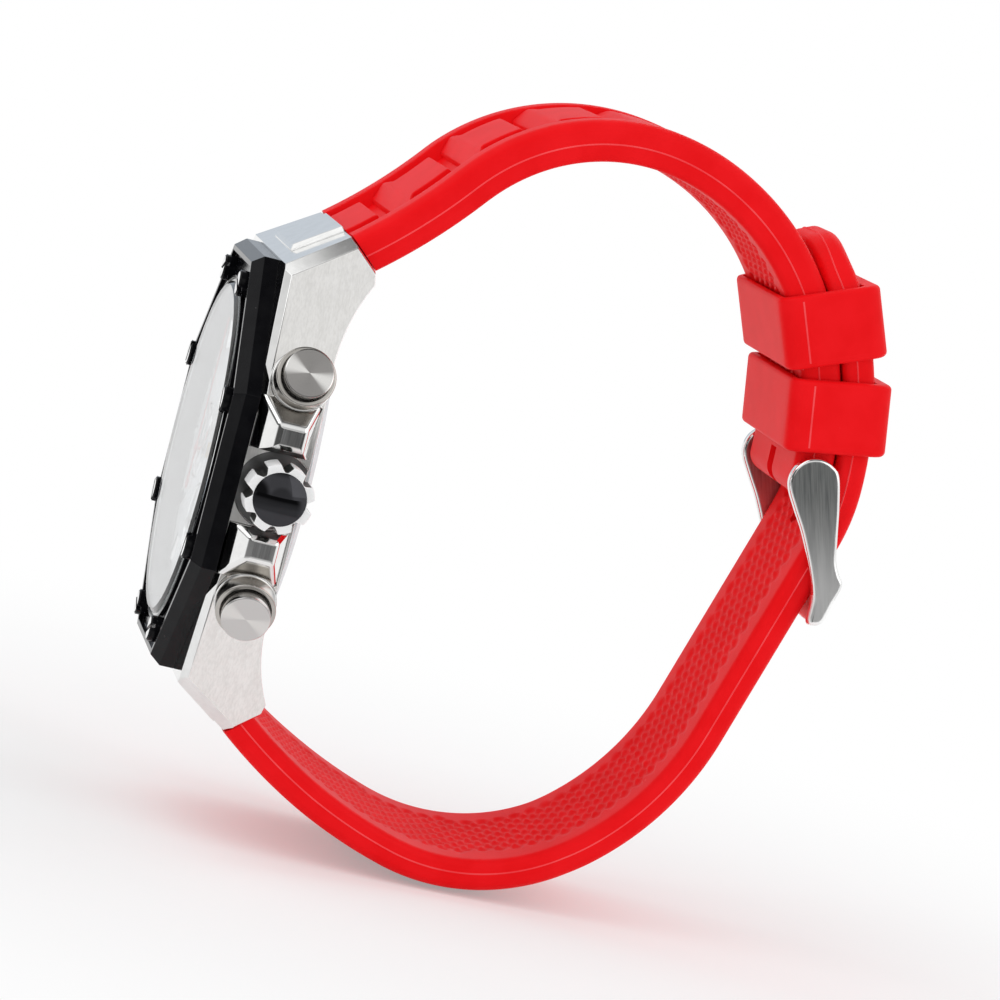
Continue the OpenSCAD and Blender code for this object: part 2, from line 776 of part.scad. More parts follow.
module main_plate() {
    color([0.8, 0.78, 0.7]) difference() {
        union() {
            translate([0, 0, plate_under]) cylinder(r = plate_r, h = plate_t);
            translate([0, 0, plate_z - eps]) ring(plate_r, plate_r - 1.2, dial_z - plate_z - 0.02);
            for (p = posts) translate([p.x, p.y, bridge_z + bridge_t])
                cylinder(r = 0.9, h = plate_under - bridge_z - bridge_t + eps);
        }
        stem_and_pusher_room(0.05);
        cylinder(r = cannon_r + fit, h = dial_top);
        translate([motion_at.x, motion_at.y, 0]) cylinder(r = motion_pin_r + fit, h = dial_top);
        for (c = small_dials) translate([c.x, c.y, 0]) cylinder(r = small_arbor_r + fit, h = dial_top);
        battery_space(0.15);
    }
}

module train_bridge() {
    color([0.75, 0.75, 0.72]) difference() {
        translate([0, 0, bridge_z]) linear_extrude(bridge_t) union() {
            circle(r = 6);
            for (p = posts) {
                translate(p) circle(r = 1.3);
                rotate(atan2(p.y, p.x)) translate([0, -1.2]) square([norm(p), 2.4]);
            }
            translate(rotor_at) circle(r = 3.4);
            rotate(atan2(rotor_at.y, rotor_at.x)) translate([0, -2]) square([norm(rotor_at), 4]);
        }
        battery_space(0.15);
        stem_and_pusher_room(0.05);
        translate([rotor_at.x, rotor_at.y, 0]) cylinder(r = 0.2, h = 9);
    }
}

module circuit_board() {
    color([0.1, 0.35, 0.2]) difference() {
        translate([0, 0, board_z]) cylinder(r = plate_r - 0.8, h = 0.3);
        battery_space(0.2);
        stem_and_pusher_room(0.1);
    }
}

module battery() {
    color([0.8, 0.8, 0.8]) translate([battery_at.x, battery_at.y, battery_z]) rotate_extrude()
        polygon([[0, 0], [battery_r - 0.9, 0], [battery_r - 0.8, 0.3], [battery_r, 0.4],
            [battery_r, battery_t - 0.2], [battery_r - 0.2, battery_t], [0, battery_t]]);
}

module battery_clamp() {
    color([0.75, 0.7, 0.55]) translate([battery_at.x, battery_at.y, battery_z - 0.27])
        linear_extrude(0.25) difference() {
            union() {
                square([2 * battery_r + 1.6, 2.4], center = true);
                rotate(45) square([6, 2], center = true);
            }
            circle(r = 0.7);
        }
}

module motor_coil() {
    wound_r = 0.75;
    color([0.7, 0.35, 0.15]) translate([coil_at.x, coil_at.y, board_z + 0.32 + wound_r])
        rotate([90, 0, atan2(coil_at.y, coil_at.x)]) {
            cylinder(r = wound_r, h = 5, center = true);
            for (end = [-1, 1]) translate([0, 0, end * 2.7]) cube([2.1, 2 * wound_r, 0.42], center = true);
        }
}

module quartz_can() {
    can_r = 0.75;
    color([0.85, 0.85, 0.85]) translate([quartz_at.x, quartz_at.y, board_z + 0.31 + can_r])
        rotate([90, 0, atan2(quartz_at.y, quartz_at.x)]) cylinder(r = can_r, h = 5.4, center = true);
}

module motor_stator() {
    color([0.6, 0.6, 0.62]) translate([rotor_at.x, rotor_at.y, bridge_z + bridge_t + 0.1])
        linear_extrude(0.5) difference() {
            square([5.2, 3], center = true);
            circle(r = 0.95);
        }
}

module motor_rotor() {
    color([0.35, 0.35, 0.38]) translate([rotor_at.x, rotor_at.y, 0]) {
        translate([0, 0, bridge_z + bridge_t + 0.15]) cylinder(r = 0.8, h = 0.5);
        translate([0, 0, bridge_z + 0.05]) cylinder(r = 0.15, h = plate_under - bridge_z - 0.1);
    }
}

// Spur wheel with straight-sided teeth
module spur(teeth, pitch, height) {
    flank = [[-0.24, -1.2], [-0.1, 0.85], [0.1, 0.85], [0.24, -1.2]];
    linear_extrude(height) polygon([for (i = [0:teeth - 1]) for (p = flank)
        let (r = (teeth / 2 + p.y) * pitch, a = (i + p.x) * 360 / teeth) [r * cos(a), r * sin(a)]]);
}

module hour_wheel() {
    color([0.78, 0.65, 0.35]) difference() {
        union() {
            translate([0, 0, wheel_z]) rotate([0, 0, 90 + 180 / hour_teeth])
                spur(hour_teeth, hour_m, wheel_t);
            translate([0, 0, wheel_z]) cylinder(r = hour_tube_r, h = hour_hand_z + hand_t - wheel_z);
        }
        translate([0, 0, wheel_z - 1]) cylinder(r = cannon_r + fit, h = 9);
    }
}

module cannon_pinion() {
    color([0.72, 0.72, 0.74]) difference() {
        union() {
            translate([0, 0, plate_under - 0.2])
                cylinder(r = cannon_r, h = minute_hand_z + hand_t - plate_under + 0.2);
            translate([0, 0, motion_z]) rotate([0, 0, 90 + 180 / cannon_teeth])
                spur(cannon_teeth, gear_m, wheel_t);
        }
        translate([0, 0, plate_under - 1]) cylinder(r = arbor_r + fit, h = 9);
    }
}

module motion_wheel() {
    color([0.78, 0.65, 0.35]) translate([motion_at.x, motion_at.y, 0]) rotate([0, 0, -90]) {
        translate([0, 0, motion_z]) spur(motion_teeth, gear_m, wheel_t);
        translate([0, 0, motion_z + wheel_t - eps]) spur(leaf_teeth, hour_m, wheel_t + 0.03 + eps);
        translate([0, 0, plate_under + 0.1])
            cylinder(r = motion_pin_r, h = motion_z - plate_under - 0.1 + eps);
    }
}

// Hands, each drawn pointing along +Y with its hub on the axis

module hand_blade(length, root, tip, tail) {
    polygon([[-root / 2, -tail], [root / 2, -tail], [root / 2, length * 0.2], [root * 0.65, length * 0.55],
        [tip / 2, length * 0.93], [0, length], [-tip / 2, length * 0.93], [-root * 0.65, length * 0.55],
        [-root / 2, length * 0.2]]);
}

module hour_hand() {
    color([0.85, 0.85, 0.86]) rotate([0, 0, hour_angle]) translate([0, 0, hour_hand_z])
        linear_extrude(hand_t) difference() {
            union() {
                hand_blade(hour_hand_l, 1.1, 0.6, 0);
                circle(r = 1.35);
            }
            circle(r = hour_tube_r);
            translate([-0.3, hour_hand_l * 0.35]) square([0.6, hour_hand_l * 0.35]);
        }
}

module minute_hand() {
    color([0.85, 0.85, 0.86]) rotate([0, 0, minute_angle]) translate([0, 0, minute_hand_z])
        linear_extrude(hand_t) difference() {
            union() {
                hand_blade(minute_hand_l, 1.0, 0.5, 0);
                circle(r = 1.05);
            }
            circle(r = cannon_r);
            translate([-0.27, minute_hand_l * 0.35]) square([0.54, minute_hand_l * 0.38]);
        }
}

module seconds_hand() {
    color([0.8, 0.1, 0.1]) {
        translate([0, 0, seconds_hand_z]) linear_extrude(hand_t) {
            polygon([[-0.2, -4.4], [0.2, -4.4], [0.06, seconds_hand_l], [-0.06, seconds_hand_l]]);
            circle(r = 0.8);
            translate([0, -3.6]) circle(r = 0.7);
        }
        translate([0, 0, plate_under - 0.6])
            cylinder(r = arbor_r, h = seconds_hand_z + hand_t + 0.1 - plate_under + 0.6);
    }
}

module small_hand(at, angle) {
    color([0.82, 0.82, 0.84]) translate([at.x, at.y, 0]) {
        rotate([0, 0, angle]) translate([0, 0, small_hand_z]) linear_extrude(0.12) {
            polygon([[-0.16, -0.9], [0.16, -0.9], [0.05, small_dial_r - 0.8], [-0.05, small_dial_r - 0.8]]);
            circle(r = 0.42);
        }
        translate([0, 0, plate_under - 0.3])
            cylinder(r = small_arbor_r, h = small_hand_z + 0.1 - plate_under + 0.3);
    }
}

module small_seconds_hand() {
    small_hand(small_dials[1], 0);
}

module day_hour_hand() {
    small_hand(small_dials[0], day_angle);
}

module counter_hand() {
    small_hand(small_dials[2], 0);
}

// Strap: a path state is [towards twelve, towards the dial, heading]

function step(s, arc) = let (l = arc[0], r = arc[1], h = s[2])
    r == 0 ? [s[0] + l * cos(h), s[1] + l * sin(h), h]
    : let (turn = l / r * 180 / PI)
        [s[0] + r * (sin(h + turn) - sin(h)), s[1] - r * (cos(h + turn) - cos(h)), h + turn];
function walk(s, path, n) = n == 0 ? s : step(walk(s, path, n - 1), path[n - 1]);
function centre(s, r) = [s[0] - r * sin(s[2]), s[1] + r * cos(s[2])];
function length_of(path, n) = n == 0 ? 0 : path[n - 1][0] + length_of(path, n - 1);
function up_to(path, l) = [for (i = [0:len(path) - 1]) let (from = length_of(path, i))
    if (from < l) [min(path[i][0], l - from), path[i][1]]];
function arc_length(turn, r) = turn * r * PI / 180;

strap_0 = [strap_start.x - lead_in * cos(strap_angle), strap_start.y + lead_in * sin(strap_angle),
    -strap_angle];
upper_path = concat([[lead_in, 0]], upper_arcs, [[wrap_l, -wrap_r]]);
upper_l = length_of(upper_path, len(upper_path));
upper_end = walk(strap_0, upper_path, len(upper_path));
wrap_c = centre(upper_end, -wrap_r);
buckle_h = upper_end[2];
bar_a = buckle_h + quarter;
buckle_bar = wrap_c + (wrap_r - bar_eye_r) * [cos(bar_a), sin(bar_a)];

// Long half, worked out as if it lay on the upper side: two arcs, a bend and a straight that meet
// a knee at the buckle, then the shared curve up to the tail's tip
wrap_m = [-wrap_c.x, wrap_c.y];
knee_c = wrap_m + (tail_r - knee_r) * [-cos(bar_a), sin(bar_a)];
lower_2 = walk(strap_0, concat([[lead_in, 0]], lower_arcs), 3);
bend_c = centre(lower_2, -lower_bend_r);
span = knee_c - bend_c;
span_l = sqrt(span * span - pow(knee_r - lower_bend_r, 2));
span_h = atan2(span.y, span.x) + atan2(knee_r - lower_bend_r, span_l);
bar_h = -3 * quarter - bar_a;
lower_path = concat([[lead_in, 0]], lower_arcs, [
    [arc_length(lower_2[2] - span_h, lower_bend_r), -lower_bend_r],
    [span_l, 0],
    [arc_length(span_h - bar_h, knee_r), -knee_r],
    [tail_l, -tail_r]]);
lower_l = length_of(lower_path, len(lower_path));
lower_bar_at = lower_l - tail_l;

// Points along a half at a depth below its outer face, a few degrees of bend apart
function face_points(path, depth) = [for (i = [0:len(path) - 1])
    let (from = walk(strap_0, path, i), l = path[i][0], r = path[i][1],
        n = r == 0 ? 1 : ceil(l / abs(r) * 180 / PI / bend_step))
    for (k = [(i == 0 ? 0 : 1):n]) let (s = step(from, [l * k / n, r]))
        [s[0] + depth * sin(s[2]), s[1] - depth * cos(s[2])]];
function reversed(points) = [for (i = [len(points) - 1:-1:0]) points[i]];

// A strap half between two depths below its outer face, in the side view
module band(path, depth_0, depth_1, width) {
    side_prism(width) polygon(concat(face_points(path, depth_0), reversed(face_points(path, depth_1))));
}

// Puts a shape on the outer face at a distance along a half: first axis along it, second outwards
module on_strap(path, l) {
    part = up_to(path, l);
    s = walk(strap_0, part, len(part));
    side_view() translate([s[0], s[1], 0]) rotate([0, 0, s[2]]) children();
}

// Front view outline that narrows from the lug to the buckle
module taper(lug_half, tip_half) {
    rotate([90, 0, 0]) linear_extrude(4 * lug_y, center = true)
        polygon([[-lug_half, lug_y], [-lug_half, taper_top], [-tip_half, taper_end],
            [-tip_half, strap_low], [tip_half, strap_low], [tip_half, taper_end],
            [lug_half, taper_top], [lug_half, lug_y]]);
}

// Everything on the case's side of the lug's end face, moved out by a gap
module lug_side(gap) {
    side_prism(3 * lug_x) translate(lug_mid + gap * [end_n.y, end_n.z])
        rotate(atan2(end_n.z, end_n.y)) translate([-14, -8]) square([14, 16]);
}

// Raised link: flat top with a small bevel behind
module link(length) {
    low = -channel_d - 0.3;
    translate([-length / 2, 0, -link_w / 2]) linear_extrude(link_w)
        polygon([[link_nose, low], [link_nose, -link_low], [length - 0.3, -link_low],
            [length, -link_low - 0.3], [length, low]]);
}

// Bevelled front of a link, as wide as the channel allows
module link_front(length) {
    low = -channel_d - 0.3;
    translate([-length / 2, 0, -strap_w / 2]) linear_extrude(strap_w)
        polygon([[0, low], [0, -1.1], [link_nose * 0.35, -0.75], [link_nose, -link_low],
            [link_nose + 0.3, -link_low], [link_nose + 0.3, low]]);
}

// Blank of one half with the eye for its lug bar and the channel for its links
module strap_half(path, thick) {
    half = strap_w / 2;
    tip = strap_tip_w / 2;
    difference() {
        union() {
            difference() {
                intersection() {
                    band(path, 0, thick, strap_w + 2);
                    taper(half, tip);
                }
                lug_side(soft_gap);
            }
            side_prism(eye_w) {
                translate(lug_bar) circle(r = eye_r);
                translate(lug_bar) rotate(-strap_angle) translate([0, -eye_r])
                    square([3.4, 2 * eye_r]);
            }
        }
        difference() {
            intersection() {
                band(up_to(path, channel_l), -0.5, channel_d, strap_w);
                taper(half - rail_w, tip - rail_w);
            }
            lug_side(soft_gap);
        }
        side_prism(eye_w + 2) translate(lug_bar) circle(r = bar_r + fit);
    }
    on_strap(path, first_link_at + first_link_l / 2) link(first_link_l);
    for (i = [0:link_count - 1]) on_strap(path, links_at + link_l / 2 + i * link_pitch) link(link_l);
    intersection() {
        union() {
            on_strap(path, first_link_at + first_link_l / 2) link_front(first_link_l);
            for (i = [0:link_count - 1])
                on_strap(path, links_at + link_l / 2 + i * link_pitch) link_front(link_l);
        }
        taper(half - rail_w - soft_gap, tip - rail_w - soft_gap);
    }
}

// Short half: ends in an eye round the buckle's bar, open in the middle for the tongue
module strap_upper() {
    color([0.9, 0.08, 0.1]) difference() {
        union() {
            strap_half(upper_path, short_t);
            side_prism(strap_tip_w) translate(buckle_bar) circle(r = bar_eye_r);
        }
        side_prism(strap_tip_w + 2) translate(buckle_bar) circle(r = buckle_bar_r + fit);
        on_strap(upper_path, upper_l) translate([-tongue_ring_r - 0.4, -6, -bar_gap / 2])
            cube([6, 8, bar_gap]);
    }
}

module buckle_hole() {
    translate([0, 2, 0]) rotate([90, 0, 0]) {
        for (end = [-1, 1]) translate([end * (hole_l - hole_w) / 2, 0, 0])
            cylinder(r = hole_w / 2, h = 2 * long_t);
        translate([(hole_w - hole_l) / 2, -hole_w / 2, 0]) cube([hole_l - hole_w, hole_w, 2 * long_t]);
    }
}

// Takes the two corners off the tail's tip
module tail_corners() {
    for (mz = [0, 1]) mirror([0, 0, mz])
        translate([-tail_corner_r, 8, strap_tip_w / 2 - tail_corner_r]) rotate([90, 0, 0])
            linear_extrude(16) difference() {
                square(tail_corner_r + 2);
                circle(r = tail_corner_r);
            }
}

// Long half: holes for the tongue and a rounded tail
module strap_lower() {
    color([0.9, 0.08, 0.1]) mirror([0, 1, 0]) difference() {
        strap_half(lower_path, long_t);
        for (i = [-holes_before:holes_after])
            on_strap(lower_path, lower_bar_at - tongue_hole + i * hole_pitch) buckle_hole();
        on_strap(lower_path, lower_l) tail_corners();
    }
}

module lug_bar_solid() {
    color([0.7, 0.7, 0.72]) side_prism(lug_bar_l) translate(lug_bar) circle(r = bar_r);
}

// Buckle, drawn about its bar: first axis along the strap away from the keepers, second outwards
module buckle_view() {
    side_view() translate([buckle_bar.x, buckle_bar.y, 0]) rotate([0, 0, buckle_h]) children();
}

module cheek_outline() {
    circle(r = cheek_r);
    polygon([[-0.5, cheek_r - 0.05], [1.4, -cheek_r + 0.4], [5.5, 0.15], [cheek_l - 5.2, 2.05],
        [cheek_l - 2.7, 2.8], [cheek_l - 0.2, 2.9], [cheek_l, 3.85], [cheek_l - 0.65, 4.75],
        [cheek_l - 4.85, 5.75], [cheek_l - 6.15, 4.8], [cheek_l - 7.35, 4.35], [4.6, 3.8]]);
}

module cross_bar_outline() {
    polygon([[cheek_l - 5.05, 4.2], [cheek_l - 0.15, 3.5], [cheek_l, 3.85], [cheek_l - 0.65, 4.75],
        [cheek_l - 4.85, 5.75], [cheek_l - 5.95, 4.9], [cheek_l - 6.05, 4.6]]);
}

module buckle_frame() {
    color([0.78, 0.78, 0.77]) buckle_view() difference() {
        union() {
            for (mz = [0, 1]) mirror([0, 0, mz]) translate([0, 0, buckle_in])
                linear_extrude(cheek_t) cheek_outline();
            translate([0, 0, -buckle_in - eps]) linear_extrude(2 * buckle_in + 2 * eps)
                cross_bar_outline();
        }
        translate([0, 0, -buckle_in - pin_in]) cylinder(r = pin_r + fit, h = 2 * (buckle_in + pin_in));
        // notch that the tongue lies in
        translate([cheek_l - 6.55, 4.9, -tongue_w / 2 - 0.2]) cube([7, 3, tongue_w + 0.4]);
    }
}

module buckle_bar_solid() {
    body = buckle_in - 0.1;
    color([0.7, 0.7, 0.72]) buckle_view() {
        translate([0, 0, -body]) cylinder(r = buckle_bar_r, h = 2 * body);
        translate([0, 0, -buckle_in - pin_in + 0.1])
            cylinder(r = pin_r, h = 2 * (buckle_in + pin_in - 0.1));
    }
}

// Tongue: a ring on the bar and a bent arm through the strap to the notch
module buckle_tongue() {
    color([0.76, 0.76, 0.75]) buckle_view() difference() {
        translate([0, 0, -tongue_w / 2]) linear_extrude(tongue_w) {
            circle(r = tongue_ring_r);
            polygon([[-0.4, 1.35], [1.3, -0.6], [3.3, 1.3], [5.3, 4.6], [6.4, 5.15], [8.5, 5.25],
                [cheek_l - 2.95, 4.98], [cheek_l - 2.25, 5.1], [cheek_l - 2.35, 5.45],
                [cheek_l - 4.85, 6.25], [6.9, 6.25], [5.1, 6.1], [4.4, 5.2], [2.5, 1.95]]);
        }
        translate([0, 0, -5]) cylinder(r = buckle_bar_r + fit, h = 10);
    }
}

// Keepers: loops round both halves at an angle from the bar, tilted a little on the shared curve
module keeper(turn, tilt) {
    r0 = wrap_r - short_t - keeper_under;
    r1 = tail_r + keeper_over;
    half = keeper_in_w + keeper_t;
    deep = (r1 - r0) / 2 + keeper_t;
    color([0.9, 0.08, 0.1]) side_view() translate([wrap_c.x, wrap_c.y, 0]) rotate([0, 0, bar_a + turn])
        difference() {
            translate([(r0 + r1) / 2, 0, 0]) rotate([0, 0, tilt]) translate([0, keeper_l / 2, 0])
                rotate([90, 0, 0]) linear_extrude(keeper_l) {
                    translate([-deep, -half + keeper_corner_r])
                        square([2 * deep, 2 * (half - keeper_corner_r)]);
                    translate([-deep + keeper_corner_r, -half])
                        square([2 * (deep - keeper_corner_r), 2 * half]);
                    for (x = [keeper_corner_r - deep, deep - keeper_corner_r], side = [-1, 1])
                        translate([x, side * (half - keeper_corner_r)]) circle(r = keeper_corner_r);
                }
            rotate([0, 0, -10]) rotate_extrude(angle = 20, $fn = 180) translate([r0, -keeper_in_w])
                square([r1 - r0, 2 * keeper_in_w]);
        }
}

head() case_middle();
head() bezel();
head() bezel_screws();
head() crystal();
head() crystal_gasket();
head() rehaut();
head() dial();
head() small_dial_rings();
head() hour_markers();
head() case_back();
head() case_back_gasket();
head() case_back_screws();
head() crown();
head() crown_cap();
head() crown_tube();
head() crown_gasket();
head() winding_stem();
head() clutch_wheel();
head() pusher(1);  // pusher_top
head() pusher(-1);  // pusher_bottom
head() pusher_tube(1);  // pusher_tube_top
head() pusher_tube(-1);  // pusher_tube_bottom
head() pusher_spring(1);  // pusher_spring_top
head() pusher_spring(-1);  // pusher_spring_bottom
head() pusher_clip(1);  // pusher_clip_top
head() pusher_clip(-1);  // pusher_clip_bottom
head() movement_holder();
head() main_plate();
head() train_bridge();
head() circuit_board();
head() battery();
head() battery_clamp();
head() motor_coil();
head() quartz_can();
head() motor_rotor();
head() motor_stator();
head() hour_wheel();
head() cannon_pinion();
head() motion_wheel();
head() hour_hand();
head() minute_hand();
head() seconds_hand();
head() small_seconds_hand();
head() day_hour_hand();
head() counter_hand();
head() strap_upper();
head() strap_lower();
head() lug_bar_solid();  // lug_bar_upper
head() mirror([0, 1, 0]) lug_bar_solid();  // lug_bar_lower
head() buckle_frame();
head() buckle_tongue();
head() buckle_bar_solid();  // buckle_bar
head() keeper(keeper_low_turn + keeper_pitch_turn, keeper_top_tilt);  // keeper_upper
head() keeper(keeper_low_turn, keeper_low_tilt);  // keeper_lower
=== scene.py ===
"""Looks of an analog chronograph wristwatch with an octagonal bezel and a silicone strap.

Lengths of new pieces are millimetres until a mesh is made. The head's own axes are the crown,
twelve o'clock and the dial's normal; a side view has twelve o'clock first and the dial second.
"""

import math

import bmesh
import bpy
import numpy as np
from mathutils import Matrix, Vector
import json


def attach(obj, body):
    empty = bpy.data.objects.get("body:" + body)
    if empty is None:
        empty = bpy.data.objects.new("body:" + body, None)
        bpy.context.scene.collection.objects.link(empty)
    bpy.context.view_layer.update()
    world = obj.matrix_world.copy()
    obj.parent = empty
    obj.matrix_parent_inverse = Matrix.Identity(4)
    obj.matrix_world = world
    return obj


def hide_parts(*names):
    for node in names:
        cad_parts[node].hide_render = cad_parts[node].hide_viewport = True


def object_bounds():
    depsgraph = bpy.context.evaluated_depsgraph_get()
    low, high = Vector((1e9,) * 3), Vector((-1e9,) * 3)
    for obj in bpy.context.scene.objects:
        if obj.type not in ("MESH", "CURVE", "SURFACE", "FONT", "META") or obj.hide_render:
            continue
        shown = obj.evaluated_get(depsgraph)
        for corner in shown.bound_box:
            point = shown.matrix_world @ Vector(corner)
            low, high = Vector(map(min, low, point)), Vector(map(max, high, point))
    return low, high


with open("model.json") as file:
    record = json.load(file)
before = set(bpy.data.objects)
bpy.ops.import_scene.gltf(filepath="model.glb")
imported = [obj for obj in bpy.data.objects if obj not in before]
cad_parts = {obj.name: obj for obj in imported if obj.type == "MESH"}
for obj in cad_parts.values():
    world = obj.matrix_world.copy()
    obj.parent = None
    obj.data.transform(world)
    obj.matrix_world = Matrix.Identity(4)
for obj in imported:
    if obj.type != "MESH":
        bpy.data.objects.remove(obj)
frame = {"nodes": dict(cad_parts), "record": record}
cad_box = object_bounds()
nodes = frame["nodes"]
body_of_node = {n: b for b, names in frame["record"]["behaviour"]["bodies"].items() for n in names}

MM = 0.001
# Radius at which a turned profile closes on its axis
TIP_R = 0.0005
# Edges past these many degrees are sharp: on a CAD node's copy, where they are bevelled, and on
# soft and steel pieces
SHARP_ANGLE = 28
SOFT_ANGLE = 40
STEEL_ANGLE = 35

# Case and crystal
CASE_Z = 1.0
CASE_HALF_W = 20.5
FLANK_BEND_Y = 9
FLANK_RUN = 17.1
LUG_HALF_W = 14.3
CASE_EDGE = 0.07
BEZEL_EDGE = 0.06
SCREW_EDGE = 0.05
BACK_EDGE = 0.06
BACK_SCREW_EDGE = 0.04
CRYSTAL_R = 17.75
CRYSTAL_Z = 8.9
CRYSTAL_T = 1.85
CRYSTAL_BEVEL = 0.35
GUARD_X = CASE_HALF_W + 2.4
GUARD_EDGE = 0.45

# Crown and pushers
AXIS_Z = CASE_Z + 2.9
CROWN_X = CASE_HALF_W + 1
CROWN_R = 3.5
CROWN_L = 4.4
CROWN_TEETH = 8
CROWN_EDGE = 0.1
CROWN_BORE_R = 2.0
STEM_BORE_R = 0.6
CROWN_DOME_R = 2.72
CROWN_DOME_H = 0.75
POCKET_R = 4.1
PUSHER_TURN = math.radians(20)
PUSHER_Y = 11.2
PUSHER_FOOT = CASE_HALF_W - (PUSHER_Y - FLANK_BEND_Y) * (CASE_HALF_W - LUG_HALF_W) / FLANK_RUN
BOSS_H = 1.15
COLLAR_R = 3.05
COLLAR_H = 1.8
COLLAR_EDGE = 0.16
PUSHER_CAP_R = 2.5
PUSHER_CAP_H = 1.6
PUSHER_CAP_EDGE = 0.14

# Dial
DIAL_TOP = 6.9
CHAMBER_R = 16.4
SMALL_DIAL_R = 4.1
SMALL_DIAL_D = 0.12
PRINT_T = 0.012
FIGURE_H = 1.05
SMALL_DIALS = {"seconds": (0, -7.6), "hours": (7.6, 0), "counter": (-7.6, 0)}

# Strap: runs of (length, radius) along the outer face, a left turn positive, zero for a straight
LEAD_IN = 2.0
STRAP_START = (26.0, 2.0)
STRAP_ANGLE = 51
UPPER_ARCS = [(13.2, 59.4), (26.1, -24.1), (25.8, -27.4)]
LOWER_ARCS = [(22.5, -57.5), (23.8, -23.9)]
LOWER_BEND_R = 32.4
KNEE_R = 22
WRAP_R = 38.3
WRAP_L = 16.8
SHORT_T = 4.3
LONG_T = 3.4
TAIL_L = 27.4
TAIL_CORNER = 8.0
TAIL_FREE = 3.6
TAIL_LEAN_R = 12
TAIL_R = WRAP_R + 0.2 + LONG_T
BAR_EYE_R = 2.1
STRAP_HALF = 14
TIP_HALF = 10.5
TAPER = (-8, -38)
RAIL_W = 3.5
CHANNEL_D = 1.7
LINKS_AT = 7.5
LINK_L = 7.3
LINK_HALF = 7.0
LINK_PITCH = 8.7
LINK_COUNT = 6
CHANNEL_L = LINKS_AT + LINK_COUNT * LINK_PITCH
# Start and length of each link; the first one starts inside the lug
FIRST_LINK = (-2, LINKS_AT - (LINK_PITCH - LINK_L) + 2)
LINKS = [FIRST_LINK] + [(LINKS_AT + i * LINK_PITCH, LINK_L) for i in range(LINK_COUNT)]
HOLE_L = 4.5
HOLE_W = 2.6
HOLE_PITCH = 6.4
HOLE_COUNT = 5
TONGUE_HOLE = 4.15
OUTER_EDGE_R = 1.1
INNER_EDGE_R = 0.8
PARTING = 0.43
DIMPLE_ALONG = 2.1
DIMPLE_ACROSS = 2.5
DIMPLE_D = 0.3
# A dimple's radius and the width of its slope, as shares of its cell
DIMPLE_R = 0.46
DIMPLE_SLOPE = 0.26
DIMPLES_FROM = 5
ROW_STEP = 0.27

# Lug end that the strap meets
LUG_MID = np.array([24.75, 0.2])
LUG_END = np.array([0.743, -0.669])
SOFT_GAP = 0.15
EYE_R = 1.35
EYE_HALF = 9
EYE_INSET = 2.3
EYE_NECK_L = 3.6
LUG_BORE_R = 0.8
# Half the length of a borer, which is longer than the strap's half width at either bar
BORER_HALF = 12

# Buckle and keepers
BUCKLE_IN = 10.95
CHEEK_T = 1.3
CHEEK_R = 2.75
CHEEK_EDGE = 0.42
# How much the rim of a cheek's outer face grows in width and depth, from a place over a distance
CHEEK_ROLL = (0.12, 0.4)
ROLL_FROM = 9.5
ROLL_RUN = 3.0
CROSS_BAR_EDGE = 0.2
CROSS_BAR_LAP = 0.4
BAR_BORE_R = 0.7
BAR_END_R = 0.45
BAR_END_L = 0.85
# The tongue's slot in the short half: distances from the bar along the strap and outwards
TONGUE_SLOT = [(-1.85, -4), (4.5, -4), (4.5, 4), (-1.85, 4)]
TONGUE_SLOT_HALF = 1.2
TONGUE_NOTCH_HALF = 1.15
TONGUE_EDGE = 0.25
KEEPER_L = 7.6
KEEPER_T = 1.25
KEEPER_IN = 10.7
KEEPER_EDGE = 0.55
KEEPER_CORNER = 1.8
KEEPER_IN_CORNER = 0.35
# Room in a keeper under the short half and over the long one
KEEPER_UNDER = 0.35
KEEPER_OVER = 0.15
# The parting ridge's place, as a share of the straight between two corners, and its height
SEAM_SHARE = 0.083
SEAM_H = 0.08
# Turn about the wrap's centre and tilt of each keeper
KEEPERS = {"keeper_lower": (11, -2), "keeper_upper": (25.4, -4)}

# Camera at the photograph's viewing angle, fitted to corners of the bezel and the lug
CAMERA_AT = (0.47611, -0.06994, 0.05763)
CAMERA_RIGHT = (0.15566, 0.95427, 0.25522)
CAMERA_UP = (-0.15686, -0.23121, 0.96017)
CAMERA_LENS = 166.798
CAMERA_FILM = 36

# Soft square lamps: place, size and power
LAMP_AIM = (0, 0.02, 0)
LAMPS = {
    "key": ((0.12, -0.42, 0.5), 0.6, 1.1),
    "fill": ((0.4, 0.5, 0.35), 0.6, 0.7),
    "back": ((-0.4, 0.3, 0.35), 0.5, 0.4),
}

# Dark cards that only reflections see: direction, cosines at edge and at full strength, darkness
CARDS = {
    "ceiling": ((0, 0, 1), 0.62, 0.86, 0.82),
    "crown_side": ((0.97, 0.15, -0.1), 0.84, 0.93, 0.46),
    "dial_side": ((0.65, -0.76, -0.1), 0.8, 0.93, 0.88),
    "above_dial": ((-0.02, -0.78, 0.62), 0.9, 0.965, 0.75),
}
FLOOR_HALF = 6.0
FLOOR_GAP = 0.0005


# Meshes


def head_to_row(points):
    """Crown, twelve, dial in millimetres become x, minus z, y in metres."""
    p = np.asarray(points, float)
    return np.stack([p[..., 0], -p[..., 2], p[..., 1]], -1) * MM


def side_to_row(across, side):
    """A side view point (towards twelve, towards the dial) at a distance along the crown axis."""
    side = np.asarray(side, float)
    across = np.broadcast_to(across, side.shape[:-1])
    return head_to_row(np.stack([across, side[..., 0], side[..., 1]], -1))


def linked(name, data):
    """A new object of the data, linked into the scene."""
    made = bpy.data.objects.new(name, data)
    bpy.context.scene.collection.objects.link(made)
    return made


